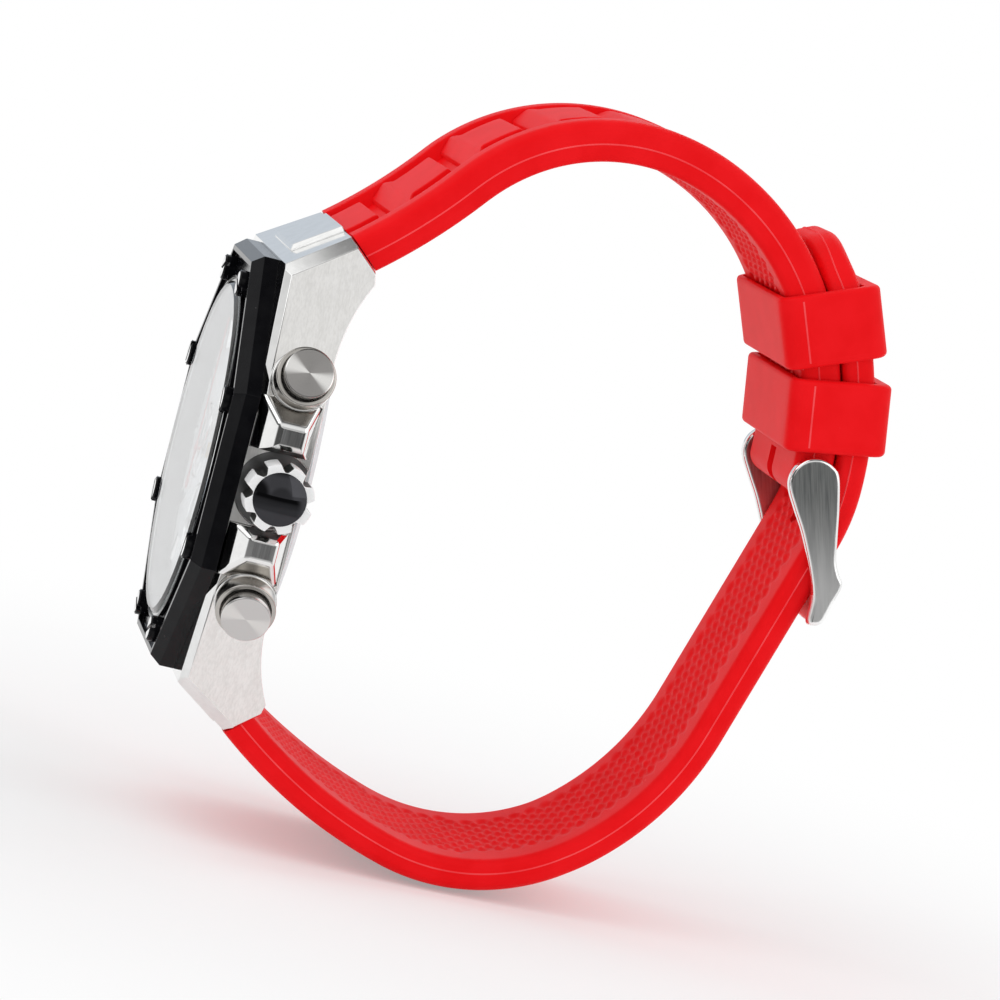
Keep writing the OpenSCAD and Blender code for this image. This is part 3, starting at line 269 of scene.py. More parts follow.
def new_piece(name, points, faces, slots=(), smooth=30, second=()):
    """A mesh object from points in metres and faces, with outward normals and edges sharp past an angle.

    Faces whose numbers are in second take the second material."""
    mesh = bpy.data.meshes.new(name)
    mesh.from_pydata(np.asarray(points).reshape(-1, 3).tolist(), [], [list(f) for f in faces])
    index = np.zeros(len(faces), np.int32)
    index[np.asarray(second, int)] = 1
    mesh.polygons.foreach_set("material_index", index)
    piece = linked(name, mesh)
    tidy_mesh(mesh, smooth)
    for material in slots:
        mesh.materials.append(material)
    return piece


def tidy_mesh(mesh, smooth):
    """Merges doubles, turns normals outwards and marks edges past an angle as sharp."""
    bm = bmesh.new()
    bm.from_mesh(mesh)
    bmesh.ops.remove_doubles(bm, verts=bm.verts, dist=1e-7)
    bmesh.ops.recalc_face_normals(bm, faces=bm.faces)
    bm.to_mesh(mesh)
    bm.free()
    mesh.shade_smooth()
    mesh.set_sharp_from_angle(angle=math.radians(smooth))


def grid_faces(rows, columns, loop_rows=False, caps=True):
    """Quads between neighbours of a grid whose rows are loops, with a face over each open end."""
    last_row = rows if loop_rows else rows - 1
    i, j = np.meshgrid(np.arange(last_row), np.arange(columns), indexing="ij")
    i2, j2 = (i + 1) % rows, (j + 1) % columns
    quads = np.stack([i * columns + j, i * columns + j2, i2 * columns + j2, i2 * columns + j], -1)
    faces = quads.reshape(-1, 4).tolist()
    if caps and not loop_rows:
        faces.append(list(range(columns))[::-1])
        faces.append([(rows - 1) * columns + k for k in range(columns)])
    return faces


def boolean(piece, tool, operation):
    """Joins a tool to a piece or cuts it off, and applies that."""
    step = piece.modifiers.new("step", "BOOLEAN")
    step.operation, step.solver, step.object = operation, "MANIFOLD", tool
    graph = bpy.context.evaluated_depsgraph_get()
    made = bpy.data.meshes.new_from_object(piece.evaluated_get(graph))
    piece.modifiers.clear()
    piece.data = made
    bpy.data.objects.remove(tool)


def unit_ring(axis, beside, sides):
    """Points of a circle of radius one about an axis; the first is square to a direction beside it."""
    u = np.cross(axis, beside)
    u /= np.linalg.norm(u)
    a = np.linspace(0, 2 * np.pi, sides, endpoint=False)[:, None]
    return np.cos(a) * u + np.sin(a) * np.cross(axis, u)


def borer(point, half, radius, sides=64):
    """A cylinder along the crown axis through a side view point; all lengths in millimetres."""
    ring = radius * MM * unit_ring([1, 0, 0], [0.3, 0.5, 0.81], sides)
    points = np.stack([side_to_row(x, point) + ring for x in (-half, half)])
    return new_piece("tool", points, grid_faces(2, sides))


def side_plate(outline, half):
    """A side view outline carried straight along the crown axis, as far to both sides."""
    points = np.stack([side_to_row(x, outline) for x in (-half, half)])
    return new_piece("tool", points, grid_faces(2, len(outline)))


def turned(name, profile, origin, axis, slots, smooth=30, sides=96):
    """A profile of (radius, height) turned about an axis; the first and last points close on it."""
    profile = np.asarray(profile, float)
    axis = np.asarray(axis, float) / np.linalg.norm(axis)
    ring = unit_ring(axis, [0.31, 0.83, 0.46], sides)
    points = profile[:, 0, None, None] * ring + profile[:, 1, None, None] * axis + np.asarray(origin)
    return new_piece(name, head_to_row(points), grid_faces(len(profile), sides), slots, smooth)


def rounded_rim(radius, height, edge, start=0.0):
    """Points (radius, height) of the quarter round from a turned flat's rim to its side."""
    turn = np.linspace(start, 1.57, 5)
    return np.stack([radius - edge + edge * np.sin(turn), height - edge * (1 - np.cos(turn))], -1).tolist()


def merged_copy(node):
    """A CAD node's mesh as a new object, with its loose triangles merged into whole faces."""
    bm = bmesh.new()
    bm.from_mesh(nodes[node].data)
    bmesh.ops.remove_doubles(bm, verts=bm.verts, dist=1e-6)
    bmesh.ops.dissolve_limit(bm, angle_limit=math.radians(0.3), verts=bm.verts, edges=bm.edges)
    mesh = bpy.data.meshes.new(node)
    bm.to_mesh(mesh)
    bm.free()
    if "custom_normal" in mesh.attributes:
        mesh.attributes.remove(mesh.attributes["custom_normal"])
    mesh.shade_smooth()
    mesh.set_sharp_from_angle(angle=math.radians(SHARP_ANGLE))
    return linked(node + "_finished", mesh)


def round_edges(piece, width, segments=2, angle=SHARP_ANGLE, slot=0):
    """Live bevel on the edges past an angle, with its faces in a material slot."""
    bevel = piece.modifiers.new("edges", "BEVEL")
    bevel.width, bevel.segments = width * MM, segments
    bevel.limit_method, bevel.angle_limit = "ANGLE", math.radians(angle)
    bevel.use_clamp_overlap = False
    bevel.harden_normals = True
    bevel.material = slot


def coat(mesh, *materials):
    """Gives a mesh these materials in place of its own, all faces in the first."""
    mesh.materials.clear()
    for material in materials:
        mesh.materials.append(material)


def faces_by_rule(piece, rule):
    """Puts each face in the material slot, a number or a truth, that rule(normals, centres) gives.

    The centres are in millimetres."""
    mesh = piece.data
    count = len(mesh.polygons)
    normal, middle = np.zeros(count * 3), np.zeros(count * 3)
    mesh.polygons.foreach_get("normal", normal)
    mesh.polygons.foreach_get("center", middle)
    picked = rule(normal.reshape(-1, 3), middle.reshape(-1, 3) / MM)
    mesh.polygons.foreach_set("material_index", np.asarray(picked, np.int32))


def stand_for(piece, node):
    """The piece rides on the body of the node that it stands for, and hides it."""
    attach(piece, body_of_node[node])
    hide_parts(node)
    return piece


# Shaders


class Signal:
    """A shader output that takes part in Python arithmetic: each operator adds a Math node."""

    def __init__(self, graph, socket):
        self.graph = graph
        self.socket = socket

    def math(self, operation, *values):
        """The result of a Math node whose first value is this one."""
        return self.graph.calculate(operation, self, *values)

    def __add__(self, other):
        return self.math("ADD", other)

    def __sub__(self, other):
        return self.math("SUBTRACT", other)

    def __rsub__(self, other):
        return self.graph.calculate("SUBTRACT", other, self)

    def __mul__(self, other):
        return self.math("MULTIPLY", other)

    def __truediv__(self, other):
        return self.math("DIVIDE", other)

    __radd__ = __add__
    __rmul__ = __mul__

    def rise(self, low, high):
        """Zero below low, one above high, with a smooth step between; falls if low is above high."""
        ends = {"From Min": low, "From Max": high}
        if low > high:
            ends = {"From Min": high, "From Max": low, "To Min": 1, "To Max": 0}
        smooth = {"interpolation_type": "SMOOTHSTEP"}
        return self.graph.node("ShaderNodeMapRange", smooth, {"Value": self, **ends})


class Graph:
    """The nodes of one material or world."""

    def __init__(self, owner):
        owner.use_nodes = True
        self.owner = owner
        self.tree = owner.node_tree
        self.tree.nodes.clear()

    def node(self, kind, settings=None, inputs=None, output=0):
        """Adds a node: its settings first, then values or links of its sockets; gives one output."""
        made = self.tree.nodes.new(kind)
        for key, value in (settings or {}).items():
            setattr(made, key, value)
        for key, value in (inputs or {}).items():
            if isinstance(value, Signal):
                self.tree.links.new(value.socket, made.inputs[key])
            else:
                made.inputs[key].default_value = value
        return Signal(self, made.outputs[output])

    def calculate(self, operation, *values):
        """The result of a Math node on values or signals."""
        return self.node("ShaderNodeMath", {"operation": operation}, dict(enumerate(values)))

    def place(self, scale=(1, 1, 1), centre=(0, 0, 0), turn=0.0):
        """Object coordinates about a centre in metres, turned about X, in millimetres times a scale."""
        point = self.node("ShaderNodeTexCoord", output="Object")
        moved = self.node("ShaderNodeVectorMath", {"operation": "SUBTRACT"}, {0: point, 1: centre})
        if turn:
            about_x = {"rotation_type": "X_AXIS"}
            moved = self.node("ShaderNodeVectorRotate", about_x, {"Vector": moved, "Angle": turn})
        size = [s / MM for s in scale]
        return self.node("ShaderNodeMapping", {}, {"Vector": moved, "Scale": size})

    def parts(self, vector):
        """The three components of a vector."""
        node = self.node("ShaderNodeSeparateXYZ", {}, {0: vector})
        return [Signal(self, s) for s in node.socket.node.outputs]

    def noise(self, point, scale=1.0, detail=3.0, roughness=0.5):
        """Soft random clouds between zero and one."""
        inputs = {"Vector": point, "Scale": scale, "Detail": detail, "Roughness": roughness}
        return self.node("ShaderNodeTexNoise", {}, inputs)

    def specks(self, point, scale, full, edge=0.015):
        """One inside small round specks at the middles of random cells, zero between them."""
        cell = self.node("ShaderNodeTexVoronoi", {}, {"Vector": point, "Scale": scale}, "Distance")
        return cell.rise(full, edge)

    def blend(self, factor, a, b):
        """Colour a where the factor is zero, b where it is one."""
        a, b = [c if isinstance(c, Signal) else (*c, 1) for c in (a, b)]
        return self.node("ShaderNodeMix", {"data_type": "RGBA"}, {0: factor, 6: a, 7: b}, 2)

    def bump(self, height, depth):
        """A normal from a height, whose unit is the depth in millimetres."""
        return self.node("ShaderNodeBump", {}, {"Height": height, "Distance": depth * MM, "Strength": 1.0})

    def output(self, shader):
        """Makes a shader the surface of the material or world."""
        kind = "World" if isinstance(self.owner, bpy.types.World) else "Material"
        made = self.tree.nodes.new(f"ShaderNodeOutput{kind}")
        self.tree.links.new(shader.socket, made.inputs["Surface"])


def finish(name, make):
    """A material whose surface sockets come from make(graph)."""
    graph = Graph(bpy.data.materials.new(name))
    sockets = make(graph)
    for key, value in sockets.items():
        if isinstance(value, tuple) and len(value) == 3:
            sockets[key] = (*value, 1)
    graph.output(graph.node("ShaderNodeBsdfPrincipled", {}, sockets))
    return graph.owner


def silicone(graph, light=(0.88, 0.004, 0.007), other=(0.93, 0.007, 0.011)):
    """Satin red silicone: faint clouding, fine grain and sparse dust."""
    point = graph.place()
    cloud = graph.noise(point, 0.25, 3)
    grain = graph.noise(point, 9, 2)
    pick = graph.noise(graph.place(centre=(0.011, 0.007, 0.003)), 0.42, 0)
    dust = graph.specks(point, 0.42, 0.05) * pick.rise(0.52, 0.58)
    colour = graph.blend(cloud.rise(0.3, 0.7), light, other)
    return {
        "Base Color": graph.blend(dust * 0.5, colour, (0.95, 0.35, 0.35)),
        "Roughness": 0.42 + grain * 0.12 + dust * 0.2,
        "IOR": 1.17,
        "Sheen Weight": 0.015,
        "Sheen Roughness": 0.5,
        "Sheen Tint": (1.0, 0.6, 0.65),
        "Normal": graph.bump(grain + cloud * 0.4, 0.012),
    }


def brushed(turn=0.0, low=(0.78, 0.77, 0.75), high=(0.9, 0.89, 0.87), painted_lightening=None):
    """Steel with fine lines along twelve o'clock, turned about the crown's axis by an angle.

    It is lighter where painted_lightening(graph) rises to one, a painted reflection."""

    def make(graph):
        fine = graph.noise(graph.place((5, 5, 0.22), turn=turn), 1.0, 3, 0.6)
        broad = graph.noise(graph.place((1.1, 1.1, 0.06), turn=turn), 1.0, 2)
        lines = fine * 0.65 + broad * 0.35
        colour = graph.blend(lines.rise(0.32, 0.68), low, high)
        if painted_lightening:
            colour = graph.blend(painted_lightening(graph), colour, (0.97, 0.97, 0.96))
        return {
            "Base Color": colour,
            "Metallic": 1.0,
            "Roughness": 0.24 + lines * 0.16,
            "Normal": graph.bump(lines, 0.012),
        }

    return make


def polished(colour, rough=0.06):
    """Polished metal with hairline wear in its gloss."""

    def make(graph):
        haze = graph.noise(graph.place(), 0.6, 4, 0.6)
        hair = graph.noise(graph.place((0.6, 11, 3)), 1.0, 2)
        return {
            "Base Color": graph.blend(haze.rise(0.35, 0.7), colour, tuple(c * 0.93 for c in colour)),
            "Metallic": 1.0,
            "Roughness": rough + haze * 0.05 + hair.rise(0.62, 0.75) * 0.06,
        }

    return make


def turned_steel_painted_shine(side, low, high):
    """Steel turned about a pusher's axis, with a painted highlight: its colour is lighter in two opposite
    sectors.
    """

    def make(graph):
        foot = head_to_row((PUSHER_FOOT, side * PUSHER_Y, AXIS_Z)).tolist()
        x, y, z = graph.parts(graph.place(centre=foot))
        up = z * math.cos(PUSHER_TURN) - x * (side * math.sin(PUSHER_TURN))
        # Painted highlight: lighter colour in two opposite sectors about the pusher's axis
        painted_bowtie = (graph.calculate("ARCTAN2", up, y) * 2 + 0.47).math("COSINE").rise(0.4, 1.0)
        wear = graph.noise(graph.place(), 1.5, 3)
        return {
            "Base Color": graph.blend(painted_bowtie, low, high),
            "Metallic": 1.0,
            "Roughness": 0.14 + wear * 0.06,
        }

    return make


def black_coat(graph):
    """Gloss black coating on steel."""
    haze = graph.noise(graph.place(), 0.5, 4)
    dust = graph.specks(graph.place(), 0.6, 0.045)
    colour = graph.blend(haze.rise(0.3, 0.7), (0.003, 0.003, 0.004), (0.006, 0.006, 0.007))
    return {
        "Base Color": graph.blend(dust * 0.3, colour, (0.3, 0.3, 0.3)),
        "Roughness": 0.08 + haze * 0.08,
        "Specular IOR Level": 0.11,
    }


def plain(colour, other, rough=0.4, metal=0.0, scale=1.0, depth=0.01):
    """A moulded, turned or printed surface between two colours, with a fine uneven grain."""

    def make(graph):
        grain = graph.noise(graph.place(), scale, 4, 0.6)
        return {
            "Base Color": graph.blend(grain.rise(0.3, 0.7), colour, other),
            "Metallic": metal,
            "Roughness": rough + grain * 0.12,
            "Normal": graph.bump(grain, depth),
        }

    return make


def dial_paint(graph):
    """Silver dial with rays brushed out from the centre, and a painted highlight that lightens it in two
    opposite sectors.
    """
    x, _, z = graph.parts(graph.place())
    angle = graph.calculate("ARCTAN2", z, x)
    ray = graph.node("ShaderNodeCombineXYZ", {}, {"X": angle * 60, "Y": 0.0, "Z": 0.0})
    lines = graph.noise(ray, 1.0, 4, 0.7)
    # Painted highlight: lighter in two opposite sectors of the dial
    painted_sweep = (angle * 2).math("COSINE") * 0.5 + 0.5
    shade = lines * 0.45 + painted_sweep * 0.55
    return {
        "Base Color": graph.blend(shade, (0.62, 0.64, 0.67), (0.9, 0.91, 0.93)),
        "Metallic": 0.55,
        "Roughness": 0.3 + lines * 0.15,
        "Normal": graph.bump(lines, 0.004),
    }


def windings(graph):
    """Enamelled copper wire wound side by side."""
    x, _, z = graph.parts(graph.place())
    turn = ((x * 0.42 + z * 0.9) * 40).math("SINE") * 0.5 + 0.5
    return {
        "Base Color": graph.blend(turn, (0.3, 0.09, 0.03), (0.85, 0.35, 0.14)),
        "Metallic": 1.0,
        "Roughness": 0.3 + turn * 0.1,
        "Normal": graph.bump(turn, 0.04),
    }


def sapphire(name):
    """Clear crystal; light passes it without shadow."""
    graph = Graph(bpy.data.materials.new(name))
    smudge = graph.noise(graph.place(), 0.3, 4)
    glass = graph.node("ShaderNodeBsdfPrincipled", {}, {
        "Base Color": (0.97, 0.99, 1.0, 1),
        "Roughness": 0.005 + smudge.rise(0.5, 0.8) * 0.02,
        "IOR": 1.6,
        "Transmission Weight": 1.0,
    })
    clear = graph.node("ShaderNodeBsdfTransparent", {}, {"Color": (0.95, 0.97, 0.98, 1)})
    shadow = graph.node("ShaderNodeLightPath", output="Is Shadow Ray")
    graph.output(graph.node("ShaderNodeMixShader", {}, {0: shadow, 1: glass, 2: clear}))
    return graph.owner


RED = finish("red_silicone", silicone)
# Lighter red for the parting ridges: a painted highlight
RIDGE_PAINTED_SHINE = finish("red_ridge_painted_highlight", lambda graph: silicone(graph, (0.95, 0.06, 0.07), (1.0, 0.1, 0.11)))
BRUSHED = finish("brushed_steel", brushed())
POLISHED = finish("polished_steel", polished((0.86, 0.86, 0.85)))
SATIN = finish("satin_steel", polished((0.74, 0.75, 0.77), 0.2))
# Both caps are one steel: the top cap's darker colours are painted shade and the bottom cap's lighter ones
# painted light
TURNED = {
    "top": finish("turned_top_painted_shade", turned_steel_painted_shine(1, (0.3, 0.29, 0.28), (0.78, 0.77, 0.75))),
    "bottom": finish("turned_bottom_painted_light", turned_steel_painted_shine(-1, (0.57, 0.56, 0.55), (0.7, 0.69, 0.67))),
}
COLLAR = finish("turned_collar", polished((0.5, 0.48, 0.45), 0.2))
# Dark steel for the crown's pocket and the flat behind the crown: painted shade
POCKET = finish("pocket_painted_shade", polished((0.22, 0.22, 0.22), 0.28))
# Dark brushed steel for the crown guards' flats: a painted dark reflection
GUARD_PAINTED_DARK = finish("guard_painted_reflection", brushed(0.0, (0.24, 0.24, 0.24), (0.42, 0.42, 0.42)))
# Near-black steel for the gaps between the crown's teeth: painted shade
RECESS = finish("crown_gap_painted_shade", plain((0.05, 0.05, 0.05), (0.1, 0.1, 0.095), 0.45, 1.0, 4.0))
BLACK = finish("black_coat", black_coat)
SCREW_TOP = finish("screw_top", polished((0.8, 0.8, 0.8), 0.1))
CLEAR = sapphire("sapphire")
RUBBER = finish("seal_rubber", plain((0.012, 0.012, 0.012), (0.03, 0.03, 0.03), 0.55))
NYLON = finish("nylon_ring", plain((0.8, 0.8, 0.78), (0.88, 0.88, 0.86), 0.35))
DIAL = finish("silver_dial", dial_paint)
REHAUT = finish("dark_ring", plain((0.02, 0.024, 0.028), (0.035, 0.04, 0.045), 0.3, 0.3, 2.0))
APPLIED = finish("applied_steel", polished((0.88, 0.88, 0.88), 0.05))
PRINT = finish("dial_print", plain((0.015, 0.015, 0.018), (0.03, 0.03, 0.035), 0.5, 0.0, 6.0, 0.004))
HAND_RED = finish("red_lacquer", plain((0.62, 0.01, 0.012), (0.7, 0.015, 0.018), 0.22, 0.0, 5.0, 0.003))
CAP_BLACK = finish("black_cabochon", polished((0.05, 0.05, 0.055), 0.02))
TOOTH = finish("satin_teeth", plain((0.95, 0.95, 0.95), (0.99, 0.99, 0.98), 0.25, 0.12, 6.0, 0.003))
SPRING = finish("spring_steel", plain((0.5, 0.5, 0.52), (0.65, 0.65, 0.66), 0.3, 1.0, 4.0))
PLATE = finish("nickel_plate", plain((0.62, 0.58, 0.48), (0.72, 0.69, 0.6), 0.32, 1.0, 1.2))
PLASTIC = finish("movement_plastic", plain((0.62, 0.62, 0.58), (0.72, 0.72, 0.68), 0.45, 0.0, 2.0))
BOARD = finish("green_board", plain((0.01, 0.09, 0.035), (0.02, 0.14, 0.05), 0.35, 0.0, 1.5))
CELL = finish("cell_steel", plain((0.68, 0.68, 0.68), (0.8, 0.8, 0.8), 0.25, 1.0, 0.8))
WIRE = finish("wound_copper", windings)
BRASS = finish("gear_brass", plain((0.72, 0.5, 0.18), (0.82, 0.62, 0.28), 0.25, 1.0, 2.0))
MAGNET = finish("dark_magnet", plain((0.08, 0.08, 0.09), (0.14, 0.14, 0.15), 0.4, 0.6, 2.0))

NODE_FINISH = {
    "crystal_gasket": NYLON, "rehaut": REHAUT, "dial": DIAL, "small_dial_rings": APPLIED,
    "hour_markers": APPLIED, "case_back_gasket": RUBBER, "crown_tube": POLISHED,
    "crown_gasket": RUBBER, "winding_stem": SPRING, "clutch_wheel": BRASS,
    "pusher_spring_top": SPRING, "pusher_spring_bottom": SPRING, "pusher_clip_top": SPRING,
    "pusher_clip_bottom": SPRING, "movement_holder": PLASTIC, "main_plate": PLATE,
    "train_bridge": PLATE, "circuit_board": BOARD, "battery": CELL, "battery_clamp": BRASS,
    "motor_coil": WIRE, "quartz_can": CELL, "motor_rotor": MAGNET, "motor_stator": SPRING,
    "hour_wheel": BRASS, "cannon_pinion": SPRING, "motion_wheel": BRASS, "hour_hand": APPLIED,
    "minute_hand": APPLIED, "seconds_hand": HAND_RED, "small_seconds_hand": PRINT,
    "day_hour_hand": PRINT, "counter_hand": PRINT, "lug_bar_upper": SPRING,
    "lug_bar_lower": SPRING, "buckle_bar": POLISHED,
}


def dress_nodes():
    """Gives each node that stays its material."""
    for name, material in NODE_FINISH.items():
        coat(nodes[name].data, material)


# Strap


def axes(heading):
    """Unit vectors along a heading of the side view and square to it, a quarter turn to the left."""
    along = np.array([np.cos(heading), np.sin(heading)])
    return along, np.array([-along[1], along[0]])


def step(state, length, radius, share=1.0):
    """The state (towards twelve, towards the dial, heading) after a share of a run."""
    a, b, h = state
    run = np.asarray(share) * length
    if radius == 0:
        return a + run * np.cos(h), b + run * np.sin(h), h + 0 * run
    turn = run / radius
    return a + radius * (np.sin(h + turn) - np.sin(h)), b - radius * (np.cos(h + turn) - np.cos(h)), h + turn


class Path:
    """Runs followed from a start; distances a little past either end carry on along the end runs."""

    def __init__(self, start, runs):
        self.runs = runs
        self.states = [start]
        for length, radius in runs:
            self.states.append(step(self.states[-1], length, radius))
        self.marks = np.cumsum([0] + [length for length, _ in runs])
        self.length = self.marks[-1]

    def at(self, distance):
        """Place and heading at distances, as three arrays."""
        distance = np.asarray(distance, float)
        run = np.clip(np.searchsorted(self.marks, distance, "right") - 1, 0, len(self.runs) - 1)
        out = np.zeros((3, *distance.shape))
        for i, (length, radius) in enumerate(self.runs):
            here = run == i
            share = (distance[here] - self.marks[i]) / length
            out[:, here] = step(self.states[i], length, radius, share)
        return out

    def under(self, distance, depth):
        """Side view points at a depth below the outer face."""
        a, b, h = self.at(distance)
        return np.stack([a + depth * np.sin(h), b - depth * np.cos(h)], -1)


def centre(state, radius):
    """The centre of the arc of a radius that starts at a state."""
    a, b, h = state
    return np.array([a - radius * math.sin(h), b + radius * math.cos(h)])


def strap_paths():
    """Both halves: the long one's bend and straight are worked out to meet its knee at the buckle."""
    h0 = -math.radians(STRAP_ANGLE)
    start = (STRAP_START[0] - LEAD_IN * math.cos(h0), STRAP_START[1] - LEAD_IN * math.sin(h0), h0)
    upper = Path(start, [(LEAD_IN, 0), *UPPER_ARCS, (WRAP_L, -WRAP_R)])
    wrap = centre(upper.states[-1], -WRAP_R)
    bar_a = upper.states[-1][2] + math.pi / 2
    mirrored = wrap * [-1, 1]
    knee = mirrored + (TAIL_R - KNEE_R) * axes(bar_a)[0] * [-1, 1]
    first = Path(start, [(LEAD_IN, 0), *LOWER_ARCS])
    bend = centre(first.states[-1], -LOWER_BEND_R)
    span = knee - bend
    span_l = math.sqrt(span @ span - (KNEE_R - LOWER_BEND_R) ** 2)
    span_h = math.atan2(span[1], span[0]) + math.atan2(KNEE_R - LOWER_BEND_R, span_l)
    bar_h = -1.5 * math.pi - bar_a
    lower = Path(start, [
        (LEAD_IN, 0),
        *LOWER_ARCS,
        ((first.states[-1][2] - span_h) * LOWER_BEND_R, -LOWER_BEND_R),
        (span_l, 0),
        ((span_h - bar_h) * KNEE_R, -KNEE_R),
        (TAIL_L - TAIL_FREE, -TAIL_R),
        (TAIL_FREE / 2, TAIL_LEAN_R),
        (TAIL_FREE / 2, 0),
    ])
    return upper, lower, wrap, bar_a


UPPER, LOWER, WRAP_C, BAR_A = strap_paths()
BUCKLE_H = BAR_A - math.pi / 2
BUCKLE_BAR = WRAP_C + (WRAP_R - BAR_EYE_R) * axes(BAR_A)[0]


def half_width(height):
    """Half the strap's width, narrowing with the height between the two taper marks."""
    share = np.clip((TAPER[0] - height) / (TAPER[0] - TAPER[1]), 0, 1)
    return STRAP_HALF + (TIP_HALF - STRAP_HALF) * share


# Distances at which the channel's floor rises to the outer face, and its depths there
CHANNEL_END = CHANNEL_L + np.array([-0.2, -0.04, 0, 0.2])
CHANNEL_DEPTHS = [CHANNEL_D, CHANNEL_D - 0.15, 0.15, 0]
# Depths of a link's top: a step up, a slope over its nose, a flat, and a short round to its end
LINK_DEPTHS = [9, 1.55, 1.15, 1.0, 0.19, 0.1, 0.1, 0.15, 0.32, 1.55, 9]


def link_marks(start, length):
    """Distances that go with the link depths, for a link from start."""
    return start + np.array([-0.08, 0, 0.03, 0.15, 1.75, 2.15, length - 0.3, length - 0.09, length,
        length + 0.03, length + 0.12])


def link_tops(s):
    """Depths of the channel's floor and of the link tops at distances s, and how wide a nose makes them."""
    floor = np.interp(s, CHANNEL_END, CHANNEL_DEPTHS)
    top = floor.copy()
    nose = np.zeros_like(s)
    for start, length in LINKS:
        top = np.minimum(top, np.interp(s, link_marks(start, length), LINK_DEPTHS))
        nose = np.maximum(nose, np.interp(s, start + np.array([-0.1, 0, 1.9, 2.7]), [0, 1, 1, 0]))
    return floor, top, nose


def dimples(s, x, limit, last):
    """Depth of staggered round lozenges, where the nearest cell centre lies within the limits."""
    best = np.full(np.broadcast(s, x).shape, 9.0)
    inside = np.zeros(best.shape, bool)
    for shift in (0, 0.5):
        p, q = s / DIMPLE_ALONG - shift, x / DIMPLE_ACROSS - shift
        far = np.hypot(p - np.round(p), q - np.round(q))
        at_s, at_x = (np.round(p) + shift) * DIMPLE_ALONG, np.abs((np.round(q) + shift) * DIMPLE_ACROSS)
        inside = np.where(far < best, (at_x < limit) & (at_s > DIMPLES_FROM) & (at_s < last), inside)
        best = np.minimum(best, far)
    t = np.clip((DIMPLE_R - best) / DIMPLE_SLOPE, 0, 1)
    return DIMPLE_D * t * t * (3 - 2 * t) * inside


def strap_section(s, half, thick, field_end):
    """One side of the section at distances s, from the outer middle round the edge to the inner middle.

    Columns are (distance from the middle, depth): link top and wall, channel floor and wall, rail,
    round outer edge, side with its parting ridge, round inner edge, rim and dimpled field."""
    floor, top, nose = link_tops(s)
    raised, sunk = (floor - top) / CHANNEL_D, floor / CHANNEL_D
    channel = half - RAIL_W
    link = np.minimum(LINK_HALF + (channel - 0.12 - LINK_HALF) * nose, channel - 0.16)
    foot = np.minimum(link + 0.15, channel - 0.1)
    deep_wall = np.maximum(channel - 0.3, foot + 0.02)
    zero = np.zeros_like(s)
    columns = [(link * f, top) for f in (0, 0.2, 0.4, 0.6, 0.8, 0.94)]
    columns += [(link - 0.12, top + 0.02 * raised), (link - 0.03, top + 0.08 * raised),
        (link, top + 0.25 * raised), (link + 0.02, floor - 0.1 * raised), (foot, floor)]
    columns += [(foot + (deep_wall - foot) * f, floor) for f in (0.35, 0.7)]
    columns += [(deep_wall, floor), (channel - 0.05, floor - 0.05 * sunk), (channel, floor - 0.3 * sunk),
        (channel + 0.02, 0.3 * sunk), (channel + 0.1, 0.08 * sunk), (channel + 0.3, zero)]
    rail_end = half - OUTER_EDGE_R
    columns += [(channel + 0.3 + (rail_end - channel - 0.3) * f, zero) for f in (0.33, 0.66)]
    for a in np.linspace(0, np.pi / 2, 8):
        columns.append((rail_end + OUTER_EDGE_R * math.sin(a), zero + OUTER_EDGE_R * (1 - math.cos(a))))
    ridge = thick * (1 - PARTING)
    columns.append((half, zero + (OUTER_EDGE_R + ridge) / 2))
    for off, out in ((-0.18, 0), (-0.08, 0.006), (0, 0.09), (0.08, 0.006), (0.18, 0)):
        columns.append((half + out, zero + ridge + off))
    for a in np.linspace(0, np.pi / 2, 7):
        inwards, outwards = INNER_EDGE_R * (1 - math.cos(a)), INNER_EDGE_R * (1 - math.sin(a))
        columns.append((half - inwards, zero + thick - outwards))
    field = half - RAIL_W + 0.2
    rim = half - INNER_EDGE_R
    columns += [(rim + (field - rim) * f, zero + thick) for f in (0.3, 0.65)]
    for f in np.linspace(1, 0, 33):
        x = field * f
        columns.append((x, thick - dimples(s, x, field - 0.9, field_end)))
    return tuple(np.stack([c[k] for c in columns], -1) for k in (0, 1))


def at_lug_face(path, depth):
    """Distances at which points of a depth meet the lug's end face, by repeated straight steps."""
    face = LUG_MID + SOFT_GAP * LUG_END
    gain = axes(-math.radians(STRAP_ANGLE))[0] @ LUG_END
    distance = np.full(depth.shape, LEAD_IN)
    for _ in range(4):
        distance = distance - (path.under(distance, depth) - face) @ LUG_END / gain
    return distance


def strap_rows(last):
    """Distances of the rows up to the last, with extra ones where links start and end."""
    marks = np.concatenate([CHANNEL_END, *(link_marks(*link) for link in LINKS)])
    steps = np.arange(LEAD_IN, last - 0.1, ROW_STEP)
    return np.unique(np.round(np.concatenate([steps, marks[marks > LEAD_IN], [last]]), 3))


def tail_faces(rows, reach):
    """Faces of the long half: its rows', its flat start, and the tip between both swept corners."""
    count = len(reach)
    columns = 2 * count - 2
    k = np.arange(count)
    near, far = (rows - 1) * columns + k, (rows - 1) * columns + (columns - k) % columns
    low, high = np.flatnonzero(reach > 0)[[0, -1]]
    across = np.stack([near[low:high], near[low + 1:high + 1], far[low + 1:high + 1], far[low:high]], -1)
    outer = np.concatenate([far[low:0:-1], near[:low + 1]])
    inner = np.concatenate([near[high:], far[count - 2:high - 1:-1]])
    faces = grid_faces(rows, columns, caps=False) + across.tolist() + [outer.tolist(), inner.tolist()]
    return faces + [list(range(columns))]


